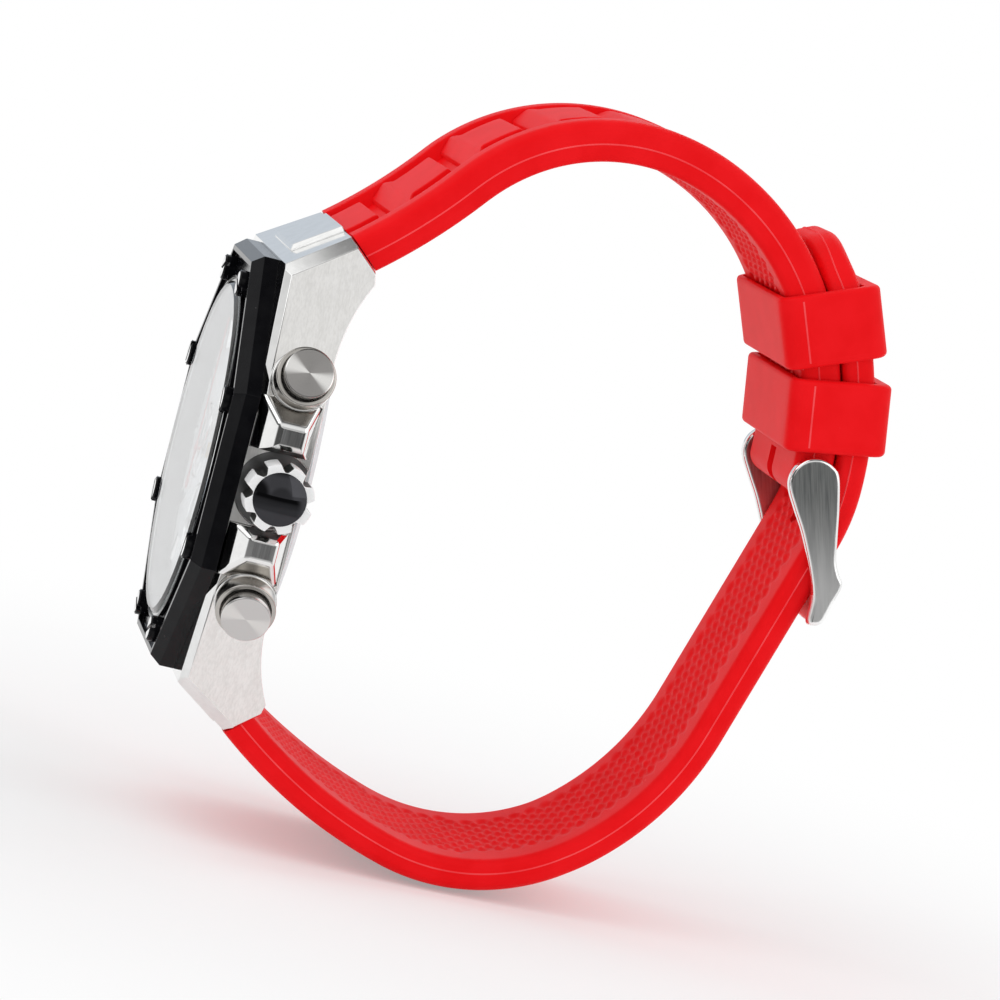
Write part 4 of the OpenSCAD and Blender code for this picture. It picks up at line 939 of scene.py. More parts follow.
def strap_surface(name, path, thick, mirror, corner=0.0):
    """A strap half: its section carried along the path from the lug's end face.

    The short half's section flattens by a cosine to end half round; the long half's section turns
    about the centres of its tail's corners."""
    last = path.length - corner
    s = strap_rows(last)
    arc = np.linspace(0, np.pi / 2, 25)[1:]
    if corner:
        turn = np.concatenate([0 * s, arc])
        flat = np.ones_like(turn)
        s = np.concatenate([s, np.full(len(arc), last)])
    else:
        # The end stops a little short of a half round, where its section would be a line
        short_arc = arc * 0.98
        flat = np.concatenate([np.ones_like(s), np.cos(short_arc)])
        s = np.concatenate([s, last + thick / 2 * np.sin(short_arc)])
        turn = 0 * s
    half = half_width(path.at(s)[1])
    x, d = strap_section(s, half, thick, last - 5)
    d = thick / 2 + (d - thick / 2) * flat[:, None]
    middle = (half - corner)[:, None]
    reach = np.clip(x - middle, 0, None)
    x = np.minimum(x, middle) + reach * np.cos(turn)[:, None]
    along = np.maximum(s[:, None] + reach * np.sin(turn)[:, None], at_lug_face(path, d))
    halves = ((x, -1), (d, 1), (along, 1))
    x, d, along = (np.concatenate([v, sign * v[:, -2:0:-1]], 1) for v, sign in halves)
    points = side_to_row(x, path.under(along, d) * [mirror, 1])
    faces = tail_faces(len(s), reach[-1]) if corner else grid_faces(*x.shape)
    tip, rows, columns = np.argmax(x[0]), np.arange(len(s) - 1)[:, None], x.shape[1]
    ridge = rows * columns + [tip - 1, tip, columns - tip - 1, columns - tip]
    # The parting ridge's faces take the painted highlight
    return new_piece(name, points, faces, [RED, RIDGE_PAINTED_SHINE], SOFT_ANGLE, ridge.ravel())


def lug_eye(mirror):
    """The end of a half that goes into the lug: a bar's eye and its neck, as one plate."""
    out, up = axes(-math.radians(STRAP_ANGLE))
    bar = LUG_MID - EYE_INSET * out
    neck = bar + EYE_NECK_L * out
    a = np.linspace(np.pi / 2, 1.5 * np.pi, 24)[:, None]
    eye = bar + EYE_R * (np.cos(a) * out + np.sin(a) * up)
    outline = np.concatenate([eye, [neck - EYE_R * up, neck + EYE_R * up]])
    return outline * [mirror, 1], bar * [mirror, 1]


def add_eye(piece, mirror):
    """Joins the eye to a half and bores it for the lug bar."""
    outline, bar = lug_eye(mirror)
    boolean(piece, side_plate(outline, EYE_HALF), "UNION")
    boolean(piece, borer(bar, BORER_HALF, LUG_BORE_R), "DIFFERENCE")


def slot_cutters(path, distances, mirror):
    """Cutters of slotted holes, square to the outer face: two half circles joined by straights."""
    turn = np.linspace(-np.pi / 2, np.pi / 2, 17)
    reach, r = (HOLE_L - HOLE_W) / 2, HOLE_W / 2
    u = np.concatenate([reach + r * np.cos(turn), -reach - r * np.cos(turn)])
    x = np.concatenate([r * np.sin(turn), -r * np.sin(turn)])
    points, faces = [], []
    for k, distance in enumerate(distances):
        a, b, h = path.at(np.array(distance))
        along, up = axes(h)
        layers = [np.array([a, b]) + u[:, None] * along + v * up for v in (2, -2 * LONG_T)]
        points.append(np.stack([side_to_row(x, layer * [mirror, 1]) for layer in layers]))
        faces += [[2 * len(u) * k + v for v in face] for face in grid_faces(2, len(u))]
    return new_piece("tool", np.concatenate(points), faces)


def make_straps():
    """Short half with the bar's bore and the tongue's slot, long half with its holes."""
    short = strap_surface("strap_short_half", UPPER, SHORT_T, 1)
    add_eye(short, 1)
    boolean(short, borer(BUCKLE_BAR, BORER_HALF, BAR_BORE_R), "DIFFERENCE")
    along, up = axes(UPPER.states[-1][2])
    corners = [BUCKLE_BAR + u * along + v * up for u, v in TONGUE_SLOT]
    boolean(short, side_plate(corners, TONGUE_SLOT_HALF), "DIFFERENCE")
    long = strap_surface("strap_long_half", LOWER, LONG_T, -1, TAIL_CORNER)
    add_eye(long, -1)
    holes = LOWER.length - TAIL_L - TONGUE_HOLE + HOLE_PITCH * np.arange(HOLE_COUNT)
    boolean(long, slot_cutters(LOWER, holes, -1), "DIFFERENCE")
    for piece, node in ((short, "strap_upper"), (long, "strap_lower")):
        tidy_mesh(piece.data, SOFT_ANGLE)
        stand_for(piece, node)


def rounded_box(low, high, half, radius):
    """A loop round a box with round corners: four arcs, with the points of each straight between."""
    arc = np.linspace(0, np.pi / 2, 7)
    corners = [(high - radius, half - radius, 0), (low + radius, half - radius, 1),
        (low + radius, -half + radius, 2), (high - radius, -half + radius, 3)]
    loop = []
    for r, x, k in corners:
        a = arc + k * np.pi / 2
        loop.append(np.stack([r + radius * np.cos(a), x + radius * np.sin(a)], -1))
    out = []
    near = np.array([0.05, 0.07, SEAM_SHARE, 0.095, 0.12])
    shares = np.concatenate([near, 1 - near[::-1]])[:, None]
    for k in range(4):
        end, begin = loop[k][-1], loop[(k + 1) % 4][0]
        out += [loop[k], end + (begin - end) * shares]
    return np.concatenate(out)


def make_keeper(name, turn, tilt):
    """A loop between a straight tilted outside and a hollow that bends with the strap.

    Points are blended from the hollow, on circles about the wrap's centre, to the outside; the wall's
    section has quarter rounds on its outer edges, and both sides carry a fine parting ridge."""
    low, high = WRAP_R - SHORT_T - KEEPER_UNDER, TAIL_R + KEEPER_OVER
    middle, half = (low + high) / 2, KEEPER_L / 2
    outer = rounded_box(low - KEEPER_T, high + KEEPER_T, KEEPER_IN + KEEPER_T, KEEPER_CORNER)[:, None]
    inner = rounded_box(low, high, KEEPER_IN, KEEPER_IN_CORNER)[:, None]
    arc = np.linspace(0, np.pi / 2, 7)
    rising, falling = KEEPER_EDGE * (1 - np.sin(arc)), KEEPER_EDGE * (1 - np.cos(arc))
    wall = np.concatenate([1 - rising / KEEPER_T, 1 - falling / KEEPER_T, np.zeros(9)])
    place = np.concatenate([-half + falling, half - rising, np.linspace(half, -half, 9)])
    straight = high - low + 2 * (KEEPER_T - KEEPER_CORNER)
    seam = low - KEEPER_T + KEEPER_CORNER + SEAM_SHARE * straight
    line = SEAM_H * (np.abs(outer[..., 0] - seam) < 0.02)
    # Only where the wall is all outside, between the rounds of its two edges
    ridge = np.sign(outer[..., 1]) * line * (wall > 0.9999)
    c, t = math.cos(math.radians(tilt)), math.sin(math.radians(tilt))
    off = outer[..., 0] - middle
    outside = np.stack([middle + off * c - place * t, outer[..., 1] + ridge, off * t + place * c], -1)
    along = (place + (inner[..., 0] - middle) * t) / c
    hollow = np.stack([np.sqrt(inner[..., 0] ** 2 - along**2), inner[..., 1] + 0 * along, along], -1)
    both = hollow + (outside - hollow) * wall[:, None]
    out, side = axes(BAR_A + math.radians(turn))
    points = side_to_row(both[..., 1], WRAP_C + both[..., :1] * out + both[..., 2:] * side)
    on_seam = np.flatnonzero(line > 0)
    between_edges = np.flatnonzero(wall[:-1] + wall[1:] > 1.9999)
    ridges = np.concatenate([on_seam, on_seam - 1])[:, None] * len(wall) + between_edges
    faces = grid_faces(*both.shape[:2], loop_rows=True)
    # The parting ridge's faces take the painted highlight
    piece = new_piece(name + "_loop", points, faces, [RED, RIDGE_PAINTED_SHINE], SOFT_ANGLE, ridges.ravel())
    stand_for(piece, name)


# Buckle


def buckle_side(outline):
    """A buckle outline (away from the keepers, outwards) in the side view."""
    outline = np.asarray(outline, float)
    along, up = axes(BUCKLE_H)
    return BUCKLE_BAR + outline[..., :1] * along + outline[..., 1:] * up


def smooth_loop(points, steps=10):
    """A closed Catmull-Rom curve: each span is a cubic with tangents from its neighbours."""
    p = np.asarray(points, float)
    t = np.linspace(0, 1, steps, endpoint=False)[:, None]
    a, b, c, d = (np.roll(p, k, 0)[:, None] for k in (1, 0, -1, -2))
    square, cube = 2 * a - 5 * b + 4 * c - d, 3 * b - a - 3 * c + d
    curve = 0.5 * (2 * b + (c - a) * t + square * t**2 + cube * t**3)
    return curve.reshape(-1, 2)


def inset_loop(loop, distance):
    """The loop moved inwards along its normals."""
    along = np.roll(loop, -1, 0) - np.roll(loop, 1, 0)
    along /= np.linalg.norm(along, axis=1, keepdims=True)
    normal = np.stack([-along[:, 1], along[:, 0]], -1)
    area = np.sum(loop[:, 0] * np.roll(loop[:, 1], -1) - loop[:, 1] * np.roll(loop[:, 0], -1))
    return loop + np.sign(area) * distance * normal


def rounded_plate(name, loop, x0, x1, edge, roll=(0.0, 0.0)):
    """A plate between two planes whose rim is a quarter round on both sides.

    Towards the loop's far end the rim of the side x1 grows by roll: its inset and its depth."""
    a = np.linspace(0, np.pi / 2, 8)[:, None]
    far = np.clip((loop[:, 0] - ROLL_FROM) / ROLL_RUN, 0, 1)
    far = far * far * (3 - 2 * far)
    wide, deep = edge + roll[0] * far, edge + roll[1] * far
    toward = 1 if x1 > x0 else -1
    inset = np.concatenate([0 * wide[None] + edge * 1.15, edge * (1 - np.sin(a)) + 0 * wide,
        wide * (1 - np.cos(a)), 1.03 * wide[None]])
    across = np.concatenate([0 * deep[None] + x0, x0 + toward * edge * (1 - np.cos(a)) + 0 * deep,
        x1 - toward * deep * (1 - np.sin(a)), 0 * deep[None] + x1])
    rings = [buckle_side(inset_loop(loop, i[:, None])) for i in inset]
    rows = np.stack([side_to_row(x, ring) for x, ring in zip(across, rings)])
    return new_piece(name, rows, grid_faces(len(rows), len(loop)), smooth=STEEL_ANGLE)


def cheek_reflection_paint(graph):
    """Painted reflection: rises from the cheek's round head to its far end, where it lightens the steel."""
    _, y, z = graph.parts(graph.place(centre=side_to_row(0, BUCKLE_BAR).tolist()))
    return (z * math.cos(BUCKLE_H) - y * math.sin(BUCKLE_H)).rise(0.5, 11.5)


CHEEK_TURN = -(BUCKLE_H + 0.3)
# The cheeks' dark colours and their lightening towards the far end are a painted reflection
CHEEK_DARK_PAINT = ((0.27, 0.28, 0.28), (0.44, 0.45, 0.44))
CHEEK_PAINTED_STEEL = finish("brushed_cheek_painted_reflection", brushed(CHEEK_TURN, *CHEEK_DARK_PAINT, cheek_reflection_paint))
# Outlines from the bar, away from the keepers and outwards; the cheek's starts with its round head
HEAD_ARC = np.radians([120, 150, 180, 210, 240, 270, 297])
CHEEK_OUTLINE = [(CHEEK_R * math.cos(a), CHEEK_R * math.sin(a)) for a in HEAD_ARC]
CHEEK_OUTLINE += [(3.1, -1.35), (5.5, 0.15), (9.35, 2.05), (11.83, 2.8), (14.25, 2.95), (14.5, 3.85),
    (13.89, 4.7), (11.8, 5.25), (9.68, 5.65), (8.5, 4.95), (7.2, 4.35), (4.61, 3.8), (1.6, 3.2)]
BAR_OUTLINE = [(9.5, 4.3), (12, 3.95), (14.2, 3.6), (14.45, 3.95), (13.8, 4.65), (11.8, 5.2),
    (9.75, 5.6), (8.8, 5.0)]
NOTCH_OUTLINE = [(8, 4.9), (15, 4.9), (15, 7.9), (8, 7.9)]
# Above this height the rims of the cheeks' far ends and of the cross bar are polished
BUCKLE_END_Z = side_to_row(0, buckle_side([(11.4, 4.0)]))[0, 2] / MM


def make_buckle():
    """Two cheeks joined by a cross bar, bored for the buckle's bar and notched for the tongue."""
    cheek = smooth_loop(CHEEK_OUTLINE)
    frame_piece, other = (
        rounded_plate(name, cheek, side * BUCKLE_IN, side * (BUCKLE_IN + CHEEK_T), CHEEK_EDGE, CHEEK_ROLL)
        for name, side in (("buckle_frame_finished", 1), ("tool", -1)))
    boolean(frame_piece, other, "UNION")
    reach = BUCKLE_IN + CROSS_BAR_LAP
    cross = rounded_plate("tool", smooth_loop(BAR_OUTLINE), -reach, reach, CROSS_BAR_EDGE)
    boolean(frame_piece, cross, "UNION")
    boolean(frame_piece, borer(BUCKLE_BAR, BUCKLE_IN + BAR_END_L, BAR_END_R), "DIFFERENCE")
    boolean(frame_piece, side_plate(buckle_side(NOTCH_OUTLINE), TONGUE_NOTCH_HALF), "DIFFERENCE")
    tidy_mesh(frame_piece.data, STEEL_ANGLE)
    coat(frame_piece.data, CHEEK_PAINTED_STEEL, POLISHED)
    faces_by_rule(frame_piece, lambda n, c: (np.abs(n[:, 0]) < 0.97) & (c[:, 2] > BUCKLE_END_Z))
    stand_for(frame_piece, "buckle_frame")
    tongue = machined("buckle_tongue", [POLISHED])
    round_edges(tongue, TONGUE_EDGE, 3, 30)


# Head


def soften(piece, width, wide, chosen):
    """Live bevel on the sharp edges, wide where chosen(both ends in millimetres) holds."""
    bm = bmesh.new()
    bm.from_mesh(piece.data)
    weight = bm.edges.layers.float.new("bevel_weight_edge")
    for edge in bm.edges:
        if len(edge.link_faces) == 2 and edge.calc_face_angle() > math.radians(SHARP_ANGLE):
            edge[weight] = 1.0 if chosen(*(v.co / MM for v in edge.verts)) else width / wide
    bm.to_mesh(piece.data)
    bm.free()
    round_edges(piece, wide, 3, slot=1)
    piece.modifiers["edges"].limit_method = "WEIGHT"


def machined(node, materials, edge=0.0, rule=None):
    """A node's merged copy with materials by rule and rounded edges."""
    piece = merged_copy(node)
    coat(piece.data, *materials)
    if rule:
        faces_by_rule(piece, rule)
    if edge:
        round_edges(piece, edge)
    return stand_for(piece, node)


def make_case():
    """Flanks brushed, guard flats in dark steel as a painted reflection, bosses turned, the crown's pocket
    in dark steel as painted shade, the rest polished.
    """
    flank, bright, guard_flat, pocket, boss = range(5)
    materials = [BRUSHED, POLISHED, GUARD_PAINTED_DARK, POCKET, COLLAR]
    pusher = np.array([math.cos(PUSHER_TURN), 0, math.sin(PUSHER_TURN)])
    pocket_from, pocket_to, floor_half = 18, CASE_HALF_W + 1.5, 2
    boss_r, boss_from, boss_to = (2.7, COLLAR_R + 0.1), -1.2, 1.3
    guard_end = 4.3

    def by_place(n, c):
        x, z = c[:, 0], c[:, 2]
        faces_crown = n[:, 0] > 0.97
        index = np.full(len(c), bright)
        index[(np.abs(n[:, 0]) > 0.9) & (np.abs(x) > LUG_HALF_W - 1.3)] = flank
        # The guard flats take the painted dark reflection
        index[faces_crown & (x > GUARD_X - 0.1)] = guard_flat
        off_crown = np.hypot(c[:, 1] + AXIS_Z, z)
        # The crown's pocket and the flat behind the crown take the painted shade
        index[(off_crown < POCKET_R) & (x > pocket_from) & (x < pocket_to)] = pocket
        index[faces_crown & (np.abs(x - CASE_HALF_W) < 0.05) & (np.abs(z) < floor_half)] = pocket
        for side in (1, -1):
            away = c - [PUSHER_FOOT, -AXIS_Z, side * PUSHER_Y]
            axis = pusher * [1, 1, side]
            along = away @ axis
            radius = np.linalg.norm(away - along[:, None] * axis, axis=1)
            round_boss = (radius > boss_r[0]) & (radius < boss_r[1])
            index[round_boss & (along > boss_from) & (along < boss_to)] = boss
        return index

    def at_guard_end(p, q):
        return max(p.x, q.x) > GUARD_X - 0.05 and abs(p.z) > guard_end

    piece = machined("case_middle", materials, rule=by_place)
    soften(piece, CASE_EDGE, GUARD_EDGE, at_guard_end)
    machined("bezel", [BLACK], BEZEL_EDGE)
    machined("bezel_screws", [BLACK, SCREW_TOP], SCREW_EDGE, lambda n, c: n[:, 1] < -0.9)
    machined("case_back", [SATIN], BACK_EDGE)
    machined("case_back_screws", [POLISHED], BACK_SCREW_EDGE)


def turned_face(radius, height, groove=0.09, slope=0.16):
    """Profile of a flat turned on a lathe: shallow cosine waves from the rim in, uneven in depth."""
    r = np.linspace(radius, 0.012, 150)
    rng = np.random.default_rng(7)
    depth = slope * groove / (2 * np.pi) * (0.5 + 0.5 * rng.random(len(r)))
    return np.stack([r, height + depth * np.cos(2 * np.pi * r / groove)], -1)


def make_pushers():
    """Caps and collars turned about each pusher's axis."""
    collar_top = BOSS_H + COLLAR_H
    cap_top, well = collar_top + PUSHER_CAP_H, BOSS_H + 0.35
    flat_r = PUSHER_CAP_R - PUSHER_CAP_EDGE
    skirt_r, roof, stem_r, groove_r = PUSHER_CAP_R - 0.45, cap_top - 0.7, 0.75, 0.5
    face = turned_face(flat_r, cap_top)[::-1].tolist()
    cap_profile = face + rounded_rim(PUSHER_CAP_R, cap_top, PUSHER_CAP_EDGE, 0.2) + [
        (PUSHER_CAP_R, well + 1.3), (PUSHER_CAP_R - 0.06, well + 1.21), (skirt_r, well + 1.21),
        (skirt_r, roof), (stem_r, roof), (stem_r, -4.0), (groove_r, -4.0), (groove_r, -4.6),
        (stem_r, -4.6), (stem_r, -6.6), (0.0, -6.6)]
    bore_r, foot = PUSHER_CAP_R + 0.05, -4.2
    collar_profile = [(stem_r + 0.05, well), (bore_r, well), (bore_r, collar_top - 0.08),
        (bore_r + 0.08, collar_top), *rounded_rim(COLLAR_R, collar_top, COLLAR_EDGE),
        (COLLAR_R, BOSS_H + 0.08), (COLLAR_R - 0.08, BOSS_H), (1.5, BOSS_H), (1.5, foot),
        (stem_r + 0.05, foot)]
    for side, name in ((1, "top"), (-1, "bottom")):
        origin = (PUSHER_FOOT, side * PUSHER_Y, AXIS_Z)
        axis = (math.cos(PUSHER_TURN), side * math.sin(PUSHER_TURN), 0)
        cap = turned(f"pusher_{name}_cap", cap_profile, origin, axis, [TURNED[name]], STEEL_ANGLE)
        stand_for(cap, f"pusher_{name}")
        tube = f"pusher_tube_{name}"
        collar = turned(tube + "_finished", collar_profile, origin, axis, [COLLAR], STEEL_ANGLE)
        close_bush(collar)
        stand_for(collar, tube)


def close_bush(piece):
    """Takes the two end faces off a turned bush and joins its first and last rings."""
    bm = bmesh.new()
    bm.from_mesh(piece.data)
    big = [f for f in bm.faces if len(f.verts) > 4]
    edges = [e for f in big for e in f.edges]
    bmesh.ops.delete(bm, geom=big, context="FACES_ONLY")
    bmesh.ops.bridge_loops(bm, edges=edges)
    bm.to_mesh(piece.data)
    bm.free()
    tidy_mesh(piece.data, STEEL_ANGLE)


def make_crown():
    """Toothed crown: each row is a loop whose radius runs from flat tooth tips to the notches' round
    bottoms by the angle from the nearest tooth, drawn in by an inset or held to a plain circle."""
    pitch = 360 / CROWN_TEETH
    # Angles from a tooth's middle to a notch's middle, and the crown's radius at each
    off = np.array([0, 5, 10.6, 11.4, 12.0, 14.0, 16.2, 17.4, 18.8, 20.5, pitch / 2])
    tip = [CROWN_R, CROWN_R, CROWN_R, 3.47, 3.38]
    reach = np.array(tip + [3.16, 2.96, 2.87, 2.81, 2.77, 2.755])
    angles = np.concatenate([off, pitch - off[-2:0:-1]])
    turn = np.radians((angles + pitch * np.arange(CROWN_TEETH)[:, None]).ravel() + pitch / 2)
    radius = np.tile(np.concatenate([reach, reach[-2:0:-1]]), CROWN_TEETH)
    bores = [(3.5, TIP_R), (3.5, STEM_BORE_R), (3.0, STEM_BORE_R), (3.0, CROWN_BORE_R),
        (0.0, CROWN_BORE_R), (0.0, 2.7)]
    loops = [(u, np.full_like(radius, r)) for u, r in bores]
    loops += [(u, np.minimum(radius, limit)) for u, limit in ((0.02, 2.92), (0.35, 3.2), (0.7, CROWN_R))]
    for a in np.linspace(0, np.pi / 2, 4):
        drawn_in = np.maximum(radius - CROWN_EDGE * (1 - math.cos(a)), 2.75)
        loops.append((CROWN_L - CROWN_EDGE + CROWN_EDGE * math.sin(a), drawn_in))
    bottom, well_r = CROWN_L - 0.45, CROWN_DOME_R - 0.35
    seat = [(CROWN_L, CROWN_DOME_R + 0.02), (CROWN_L - 0.02, CROWN_DOME_R - 0.02),
        (CROWN_L, CROWN_DOME_R - 0.3), (CROWN_L, well_r), (bottom, well_r), (bottom, TIP_R)]
    loops += [(u, np.full_like(radius, r)) for u, r in seat]
    points = np.stack([np.stack([CROWN_X + u + 0 * r, r * np.cos(turn), AXIS_Z + r * np.sin(turn)], -1)
        for u, r in loops])
    piece = new_piece("crown_toothed", head_to_row(points), grid_faces(*points.shape[:2]), [TOOTH, RECESS])

    # Faces between the teeth take the painted shade
    def between_teeth(n, c):
        low = np.hypot(c[:, 1] + AXIS_Z, c[:, 2]) < CROWN_R - 0.2
        return (np.abs(n[:, 0]) < 0.5) & low & (c[:, 0] < CROWN_X + CROWN_L - 0.05)

    faces_by_rule(piece, between_teeth)
    stand_for(piece, "crown")


def make_crown_cap():
    """Domed black cabochon in the crown's face: an arc of a ball over a short foot."""
    ball = (CROWN_DOME_R**2 + CROWN_DOME_H**2) / (2 * CROWN_DOME_H)
    rim_r, foot_r, foot = CROWN_DOME_R - 0.02, CROWN_DOME_R - 0.37, -0.43
    arc = np.linspace(TIP_R, math.asin(rim_r / ball), 24)
    profile = [(ball * math.sin(t), CROWN_DOME_H - ball + ball * math.cos(t)) for t in arc]
    profile += [(rim_r, -0.02), (foot_r, -0.02), (foot_r, foot), (TIP_R, foot)]
    place = (CROWN_X + CROWN_L, 0, AXIS_Z)
    piece = turned("crown_cabochon", profile, place, (1, 0, 0), [CAP_BLACK])
    stand_for(piece, "crown_cap")


def make_crystal():
    """Flat crystal with a polished bevel."""
    shoulder, flat_r = CRYSTAL_T - CRYSTAL_BEVEL, CRYSTAL_R - CRYSTAL_BEVEL
    profile = [(TIP_R, 0), (CRYSTAL_R - 0.05, 0), (CRYSTAL_R, 0.05), (CRYSTAL_R, shoulder),
        (CRYSTAL_R - 0.04, shoulder + 0.06), (flat_r, CRYSTAL_T - 0.03), (flat_r - 0.06, CRYSTAL_T),
        (TIP_R, CRYSTAL_T)]
    piece = turned("crystal_finished", profile, (0, 0, CRYSTAL_Z), (0, 0, 1), [CLEAR], 20, 192)
    stand_for(piece, "crystal")


# Dial printing


def bars(name, placed, base):
    """Thin printed bars: each is a box given by its centre, its direction, its length and its width."""
    points, faces = [], []
    box = np.array([[x, y, z] for z in (0, 1) for y in (-0.5, 0.5) for x in (-0.5, 0.5)])
    sides = [(0, 1, 3, 2), (4, 6, 7, 5), (0, 4, 5, 1), (2, 3, 7, 6), (0, 2, 6, 4), (1, 5, 7, 3)]
    for k, (x, y, angle, length, width) in enumerate(placed):
        c, s = math.cos(angle), math.sin(angle)
        local = box * [length, width, PRINT_T]
        points.append(np.stack([x + local[:, 0] * c - local[:, 1] * s,
            y + local[:, 0] * s + local[:, 1] * c, base + local[:, 2]], -1))
        faces += [[8 * k + v for v in side] for side in sides]
    return new_piece(name, head_to_row(np.concatenate(points)), faces, [PRINT])


def ticks(centre_xy, radius, count, length, width, long_every=0, long_length=0.0):
    """Places of marks round a centre, every so many of them longer."""
    placed = []
    for i in range(count):
        a = math.pi / 2 - 2 * math.pi * i / count
        own = long_length if long_every and i % long_every == 0 else length
        r = radius - own / 2
        placed.append((centre_xy[0] + r * math.cos(a), centre_xy[1] + r * math.sin(a), a, own, width))
    return placed


def numerals(name, entries, base):
    """Plain numbers, each centred on its place, as one thin mesh on the dial."""
    figures = bmesh.new()
    for text, x, y in entries:
        curve = bpy.data.curves.new("figures", "FONT")
        curve.body, curve.size = text, FIGURE_H
        curve.align_x, curve.align_y = "CENTER", "CENTER"
        curve.extrude = PRINT_T / 2
        carrier = linked("figures", curve)
        bpy.context.view_layer.update()
        shown = carrier.evaluated_get(bpy.context.evaluated_depsgraph_get())
        mesh = bpy.data.meshes.new_from_object(shown)
        mesh.transform(Matrix.Translation((x, y, base + PRINT_T / 2)))
        bpy.data.objects.remove(carrier)
        figures.from_mesh(mesh)
    mesh = bpy.data.meshes.new(name)
    figures.to_mesh(mesh)
    figures.free()
    mesh.transform(Matrix(((MM, 0, 0, 0), (0, 0, -MM, 0), (0, MM, 0, 0), (0, 0, 0, 1))))
    coat(mesh, PRINT)
    return linked(name, mesh)


def make_dial_print():
    """Minute track, and the scales and numbers of the small dials."""
    track = ticks((0, 0), CHAMBER_R - 0.95, 60, 0.45, 0.07, 5, 0.5)
    fine = ticks((0, 0), CHAMBER_R - 0.95, 300, 0.22, 0.03)
    pieces = [bars("minute_track", track + fine, DIAL_TOP)]
    low = DIAL_TOP - SMALL_DIAL_D
    reach = SMALL_DIAL_R - 1.45
    spots = [(0, reach), (reach, 0), (0, -reach), (-reach, 0)]
    for name, at in SMALL_DIALS.items():
        count = 24 if name == "hours" else 60
        scale = ticks(at, SMALL_DIAL_R - 0.35, count, 0.3, 0.05, count // 12, 0.5)
        pieces.append(bars(f"{name}_scale", scale, low))
        figures = ("24", "6", "12", "18") if name == "hours" else ("60", "15", "30", "45")
        entries = [(f, at[0] + x, at[1] + y) for f, (x, y) in zip(figures, spots)]
        pieces.append(numerals(f"{name}_numbers", entries, low))
    for piece in pieces:
        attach(piece, "case")


# Scene


def make_camera():
    """Camera at the photograph's viewing angle."""
    data = bpy.data.cameras.new("camera")
    data.lens, data.sensor_width = CAMERA_LENS, CAMERA_FILM
    data.clip_start, data.clip_end = 0.01, 20
    camera = linked("camera", data)
    right, up = Vector(CAMERA_RIGHT), Vector(CAMERA_UP)
    matrix = Matrix((right, up, right.cross(up))).transposed().to_4x4()
    matrix.translation = CAMERA_AT
    camera.matrix_world = matrix
    bpy.context.scene.camera = camera


def make_lamp(name, place, size, power):
    """A soft square lamp aimed at the watch."""
    data = bpy.data.lights.new(name, "AREA")
    data.size, data.energy = size, power
    lamp = linked(name, data)
    lamp.location = place
    lamp.rotation_euler = (Vector(LAMP_AIM) - Vector(place)).to_track_quat("-Z", "Y").to_euler()


def seen_directly(graph):
    """One for camera, glossy and transmission rays, and one for glossy rays alone."""
    node = graph.node("ShaderNodeLightPath").socket.node
    rays = ("Is Camera Ray", "Is Glossy Ray", "Is Transmission Ray")
    camera, glossy, through = (Signal(graph, node.outputs[ray]) for ray in rays)
    return camera.math("MAXIMUM", glossy).math("MAXIMUM", through), glossy


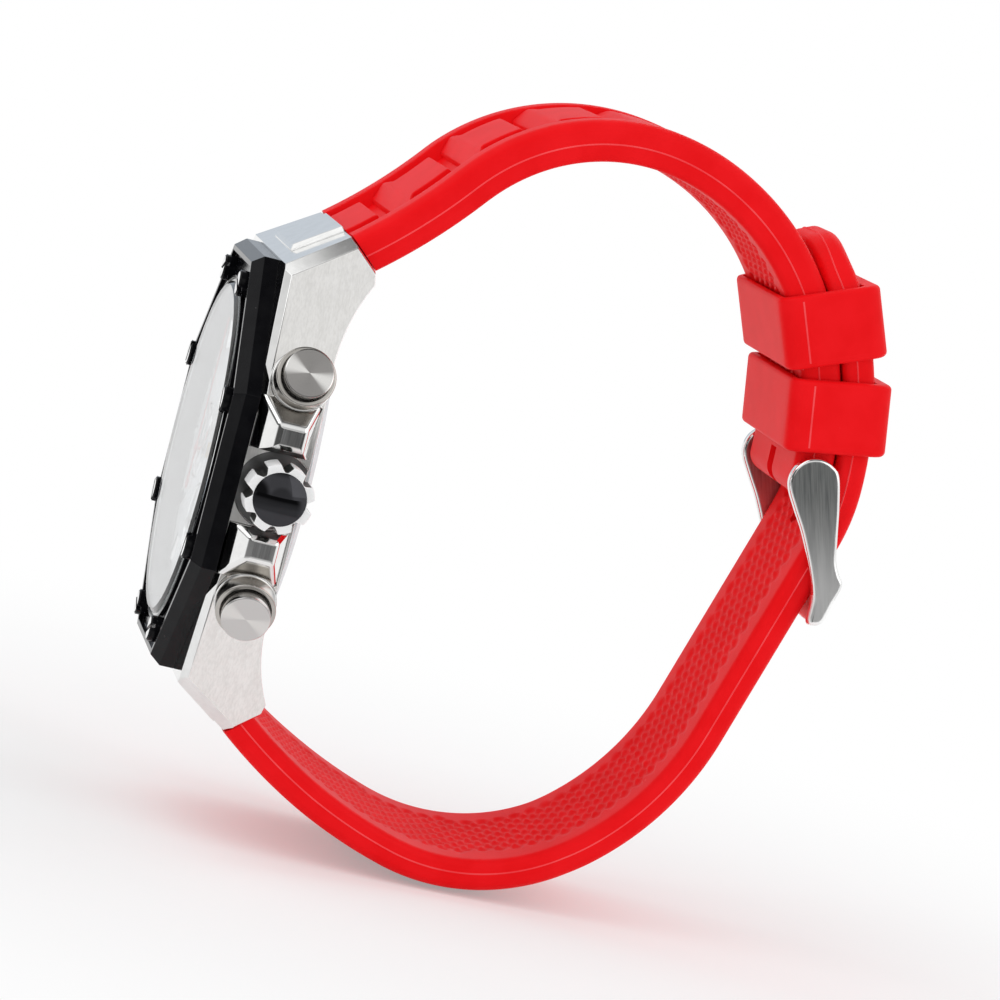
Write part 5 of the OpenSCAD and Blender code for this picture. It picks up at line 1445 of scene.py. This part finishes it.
def make_world():
    """White surroundings. Reflections also see dark cards, a faint strip and a grey far side."""
    world = bpy.data.worlds.new("studio")
    graph = Graph(world)
    direct, glossy = seen_directly(graph)
    way = graph.node("ShaderNodeTexCoord", output="Generated")

    def cosine(direction):
        dot = {"operation": "DOT_PRODUCT"}
        return graph.node("ShaderNodeVectorMath", dot, {0: way, 1: direction}, "Value")

    def towards(direction, edge, full):
        return cosine(direction).rise(edge, full) * glossy

    aside, front, height = cosine((-0.2, 0.98, 0)), cosine((0.98, 0.2, 0)), graph.parts(way)[2]
    band = (aside + 0.2).math("ABSOLUTE").rise(0.42, 0.25) * front.rise(0.05, 0.25) * height.rise(0.16, 0.34)
    dim = 1 - band * glossy * 0.12
    for direction, edge, full, darkness in CARDS.values():
        dim = dim * (1 - towards(direction, edge, full) * darkness)
    far = graph.blend(towards((-0.98, 0, 0.1), 0.7, 0.95), (1, 1, 1), (0.6, 0.65, 0.71))
    shown = graph.node("ShaderNodeBackground", {}, {"Color": far, "Strength": dim})
    light = graph.node("ShaderNodeBackground", {}, {"Color": (0.98, 0.99, 1, 1), "Strength": 0.72})
    graph.output(graph.node("ShaderNodeMixShader", {}, {0: direct, 1: light, 2: shown}))
    bpy.context.scene.world = world


def make_floor():
    """Pale floor under the strap that keeps the shadow near the watch and fades to white.

    In reflections its far part before the crown is dark, which gives polished steel its dark tones."""
    low = cad_box[0].z - FLOOR_GAP
    corners = [(x * FLOOR_HALF, y * FLOOR_HALF, low) for x, y in ((-1, -1), (1, -1), (1, 1), (-1, 1))]
    floor = new_piece("floor", corners, [(0, 1, 2, 3)])
    graph = Graph(bpy.data.materials.new("floor_paint"))

    def reach_from(y_centre):
        x, y, _ = graph.parts(graph.place(centre=(0, y_centre, 0)))
        return (x * x + y * y).math("SQRT"), x

    grain = graph.noise(graph.place(), 0.05, 2)
    colour = graph.blend(grain, (0.97, 0.97, 0.97), (0.99, 0.99, 0.99))
    paint = graph.node("ShaderNodeBsdfDiffuse", {}, {"Color": colour})
    direct, glossy = seen_directly(graph)
    reach, x = reach_from(-0.004)
    beyond = (reach.rise(68, 82) * 0.65 + reach.rise(120, 360) * 0.35) * (x / reach).rise(0.5, 0.75)
    dark = beyond * glossy
    white = graph.node("ShaderNodeEmission", {}, {"Color": (1, 1, 1, 1), "Strength": 1 - dark * 0.93})
    far = reach_from(0.02)[0].rise(45, 150)
    share = (direct * (far * 0.7 + 0.3)).math("MAXIMUM", dark)
    graph.output(graph.node("ShaderNodeMixShader", {}, {0: share, 1: paint, 2: white}))
    floor.data.materials.append(graph.owner)


def main():
    make_camera()
    make_world()
    make_floor()
    for name, lamp in LAMPS.items():
        make_lamp(name, *lamp)
    bpy.context.scene.view_settings.view_transform = "Standard"
    dress_nodes()
    make_case()
    make_crystal()
    make_crown()
    make_crown_cap()
    make_pushers()
    make_dial_print()
    make_straps()
    for name, (turn, tilt) in KEEPERS.items():
        make_keeper(name, turn, tilt)
    make_buckle()


main()
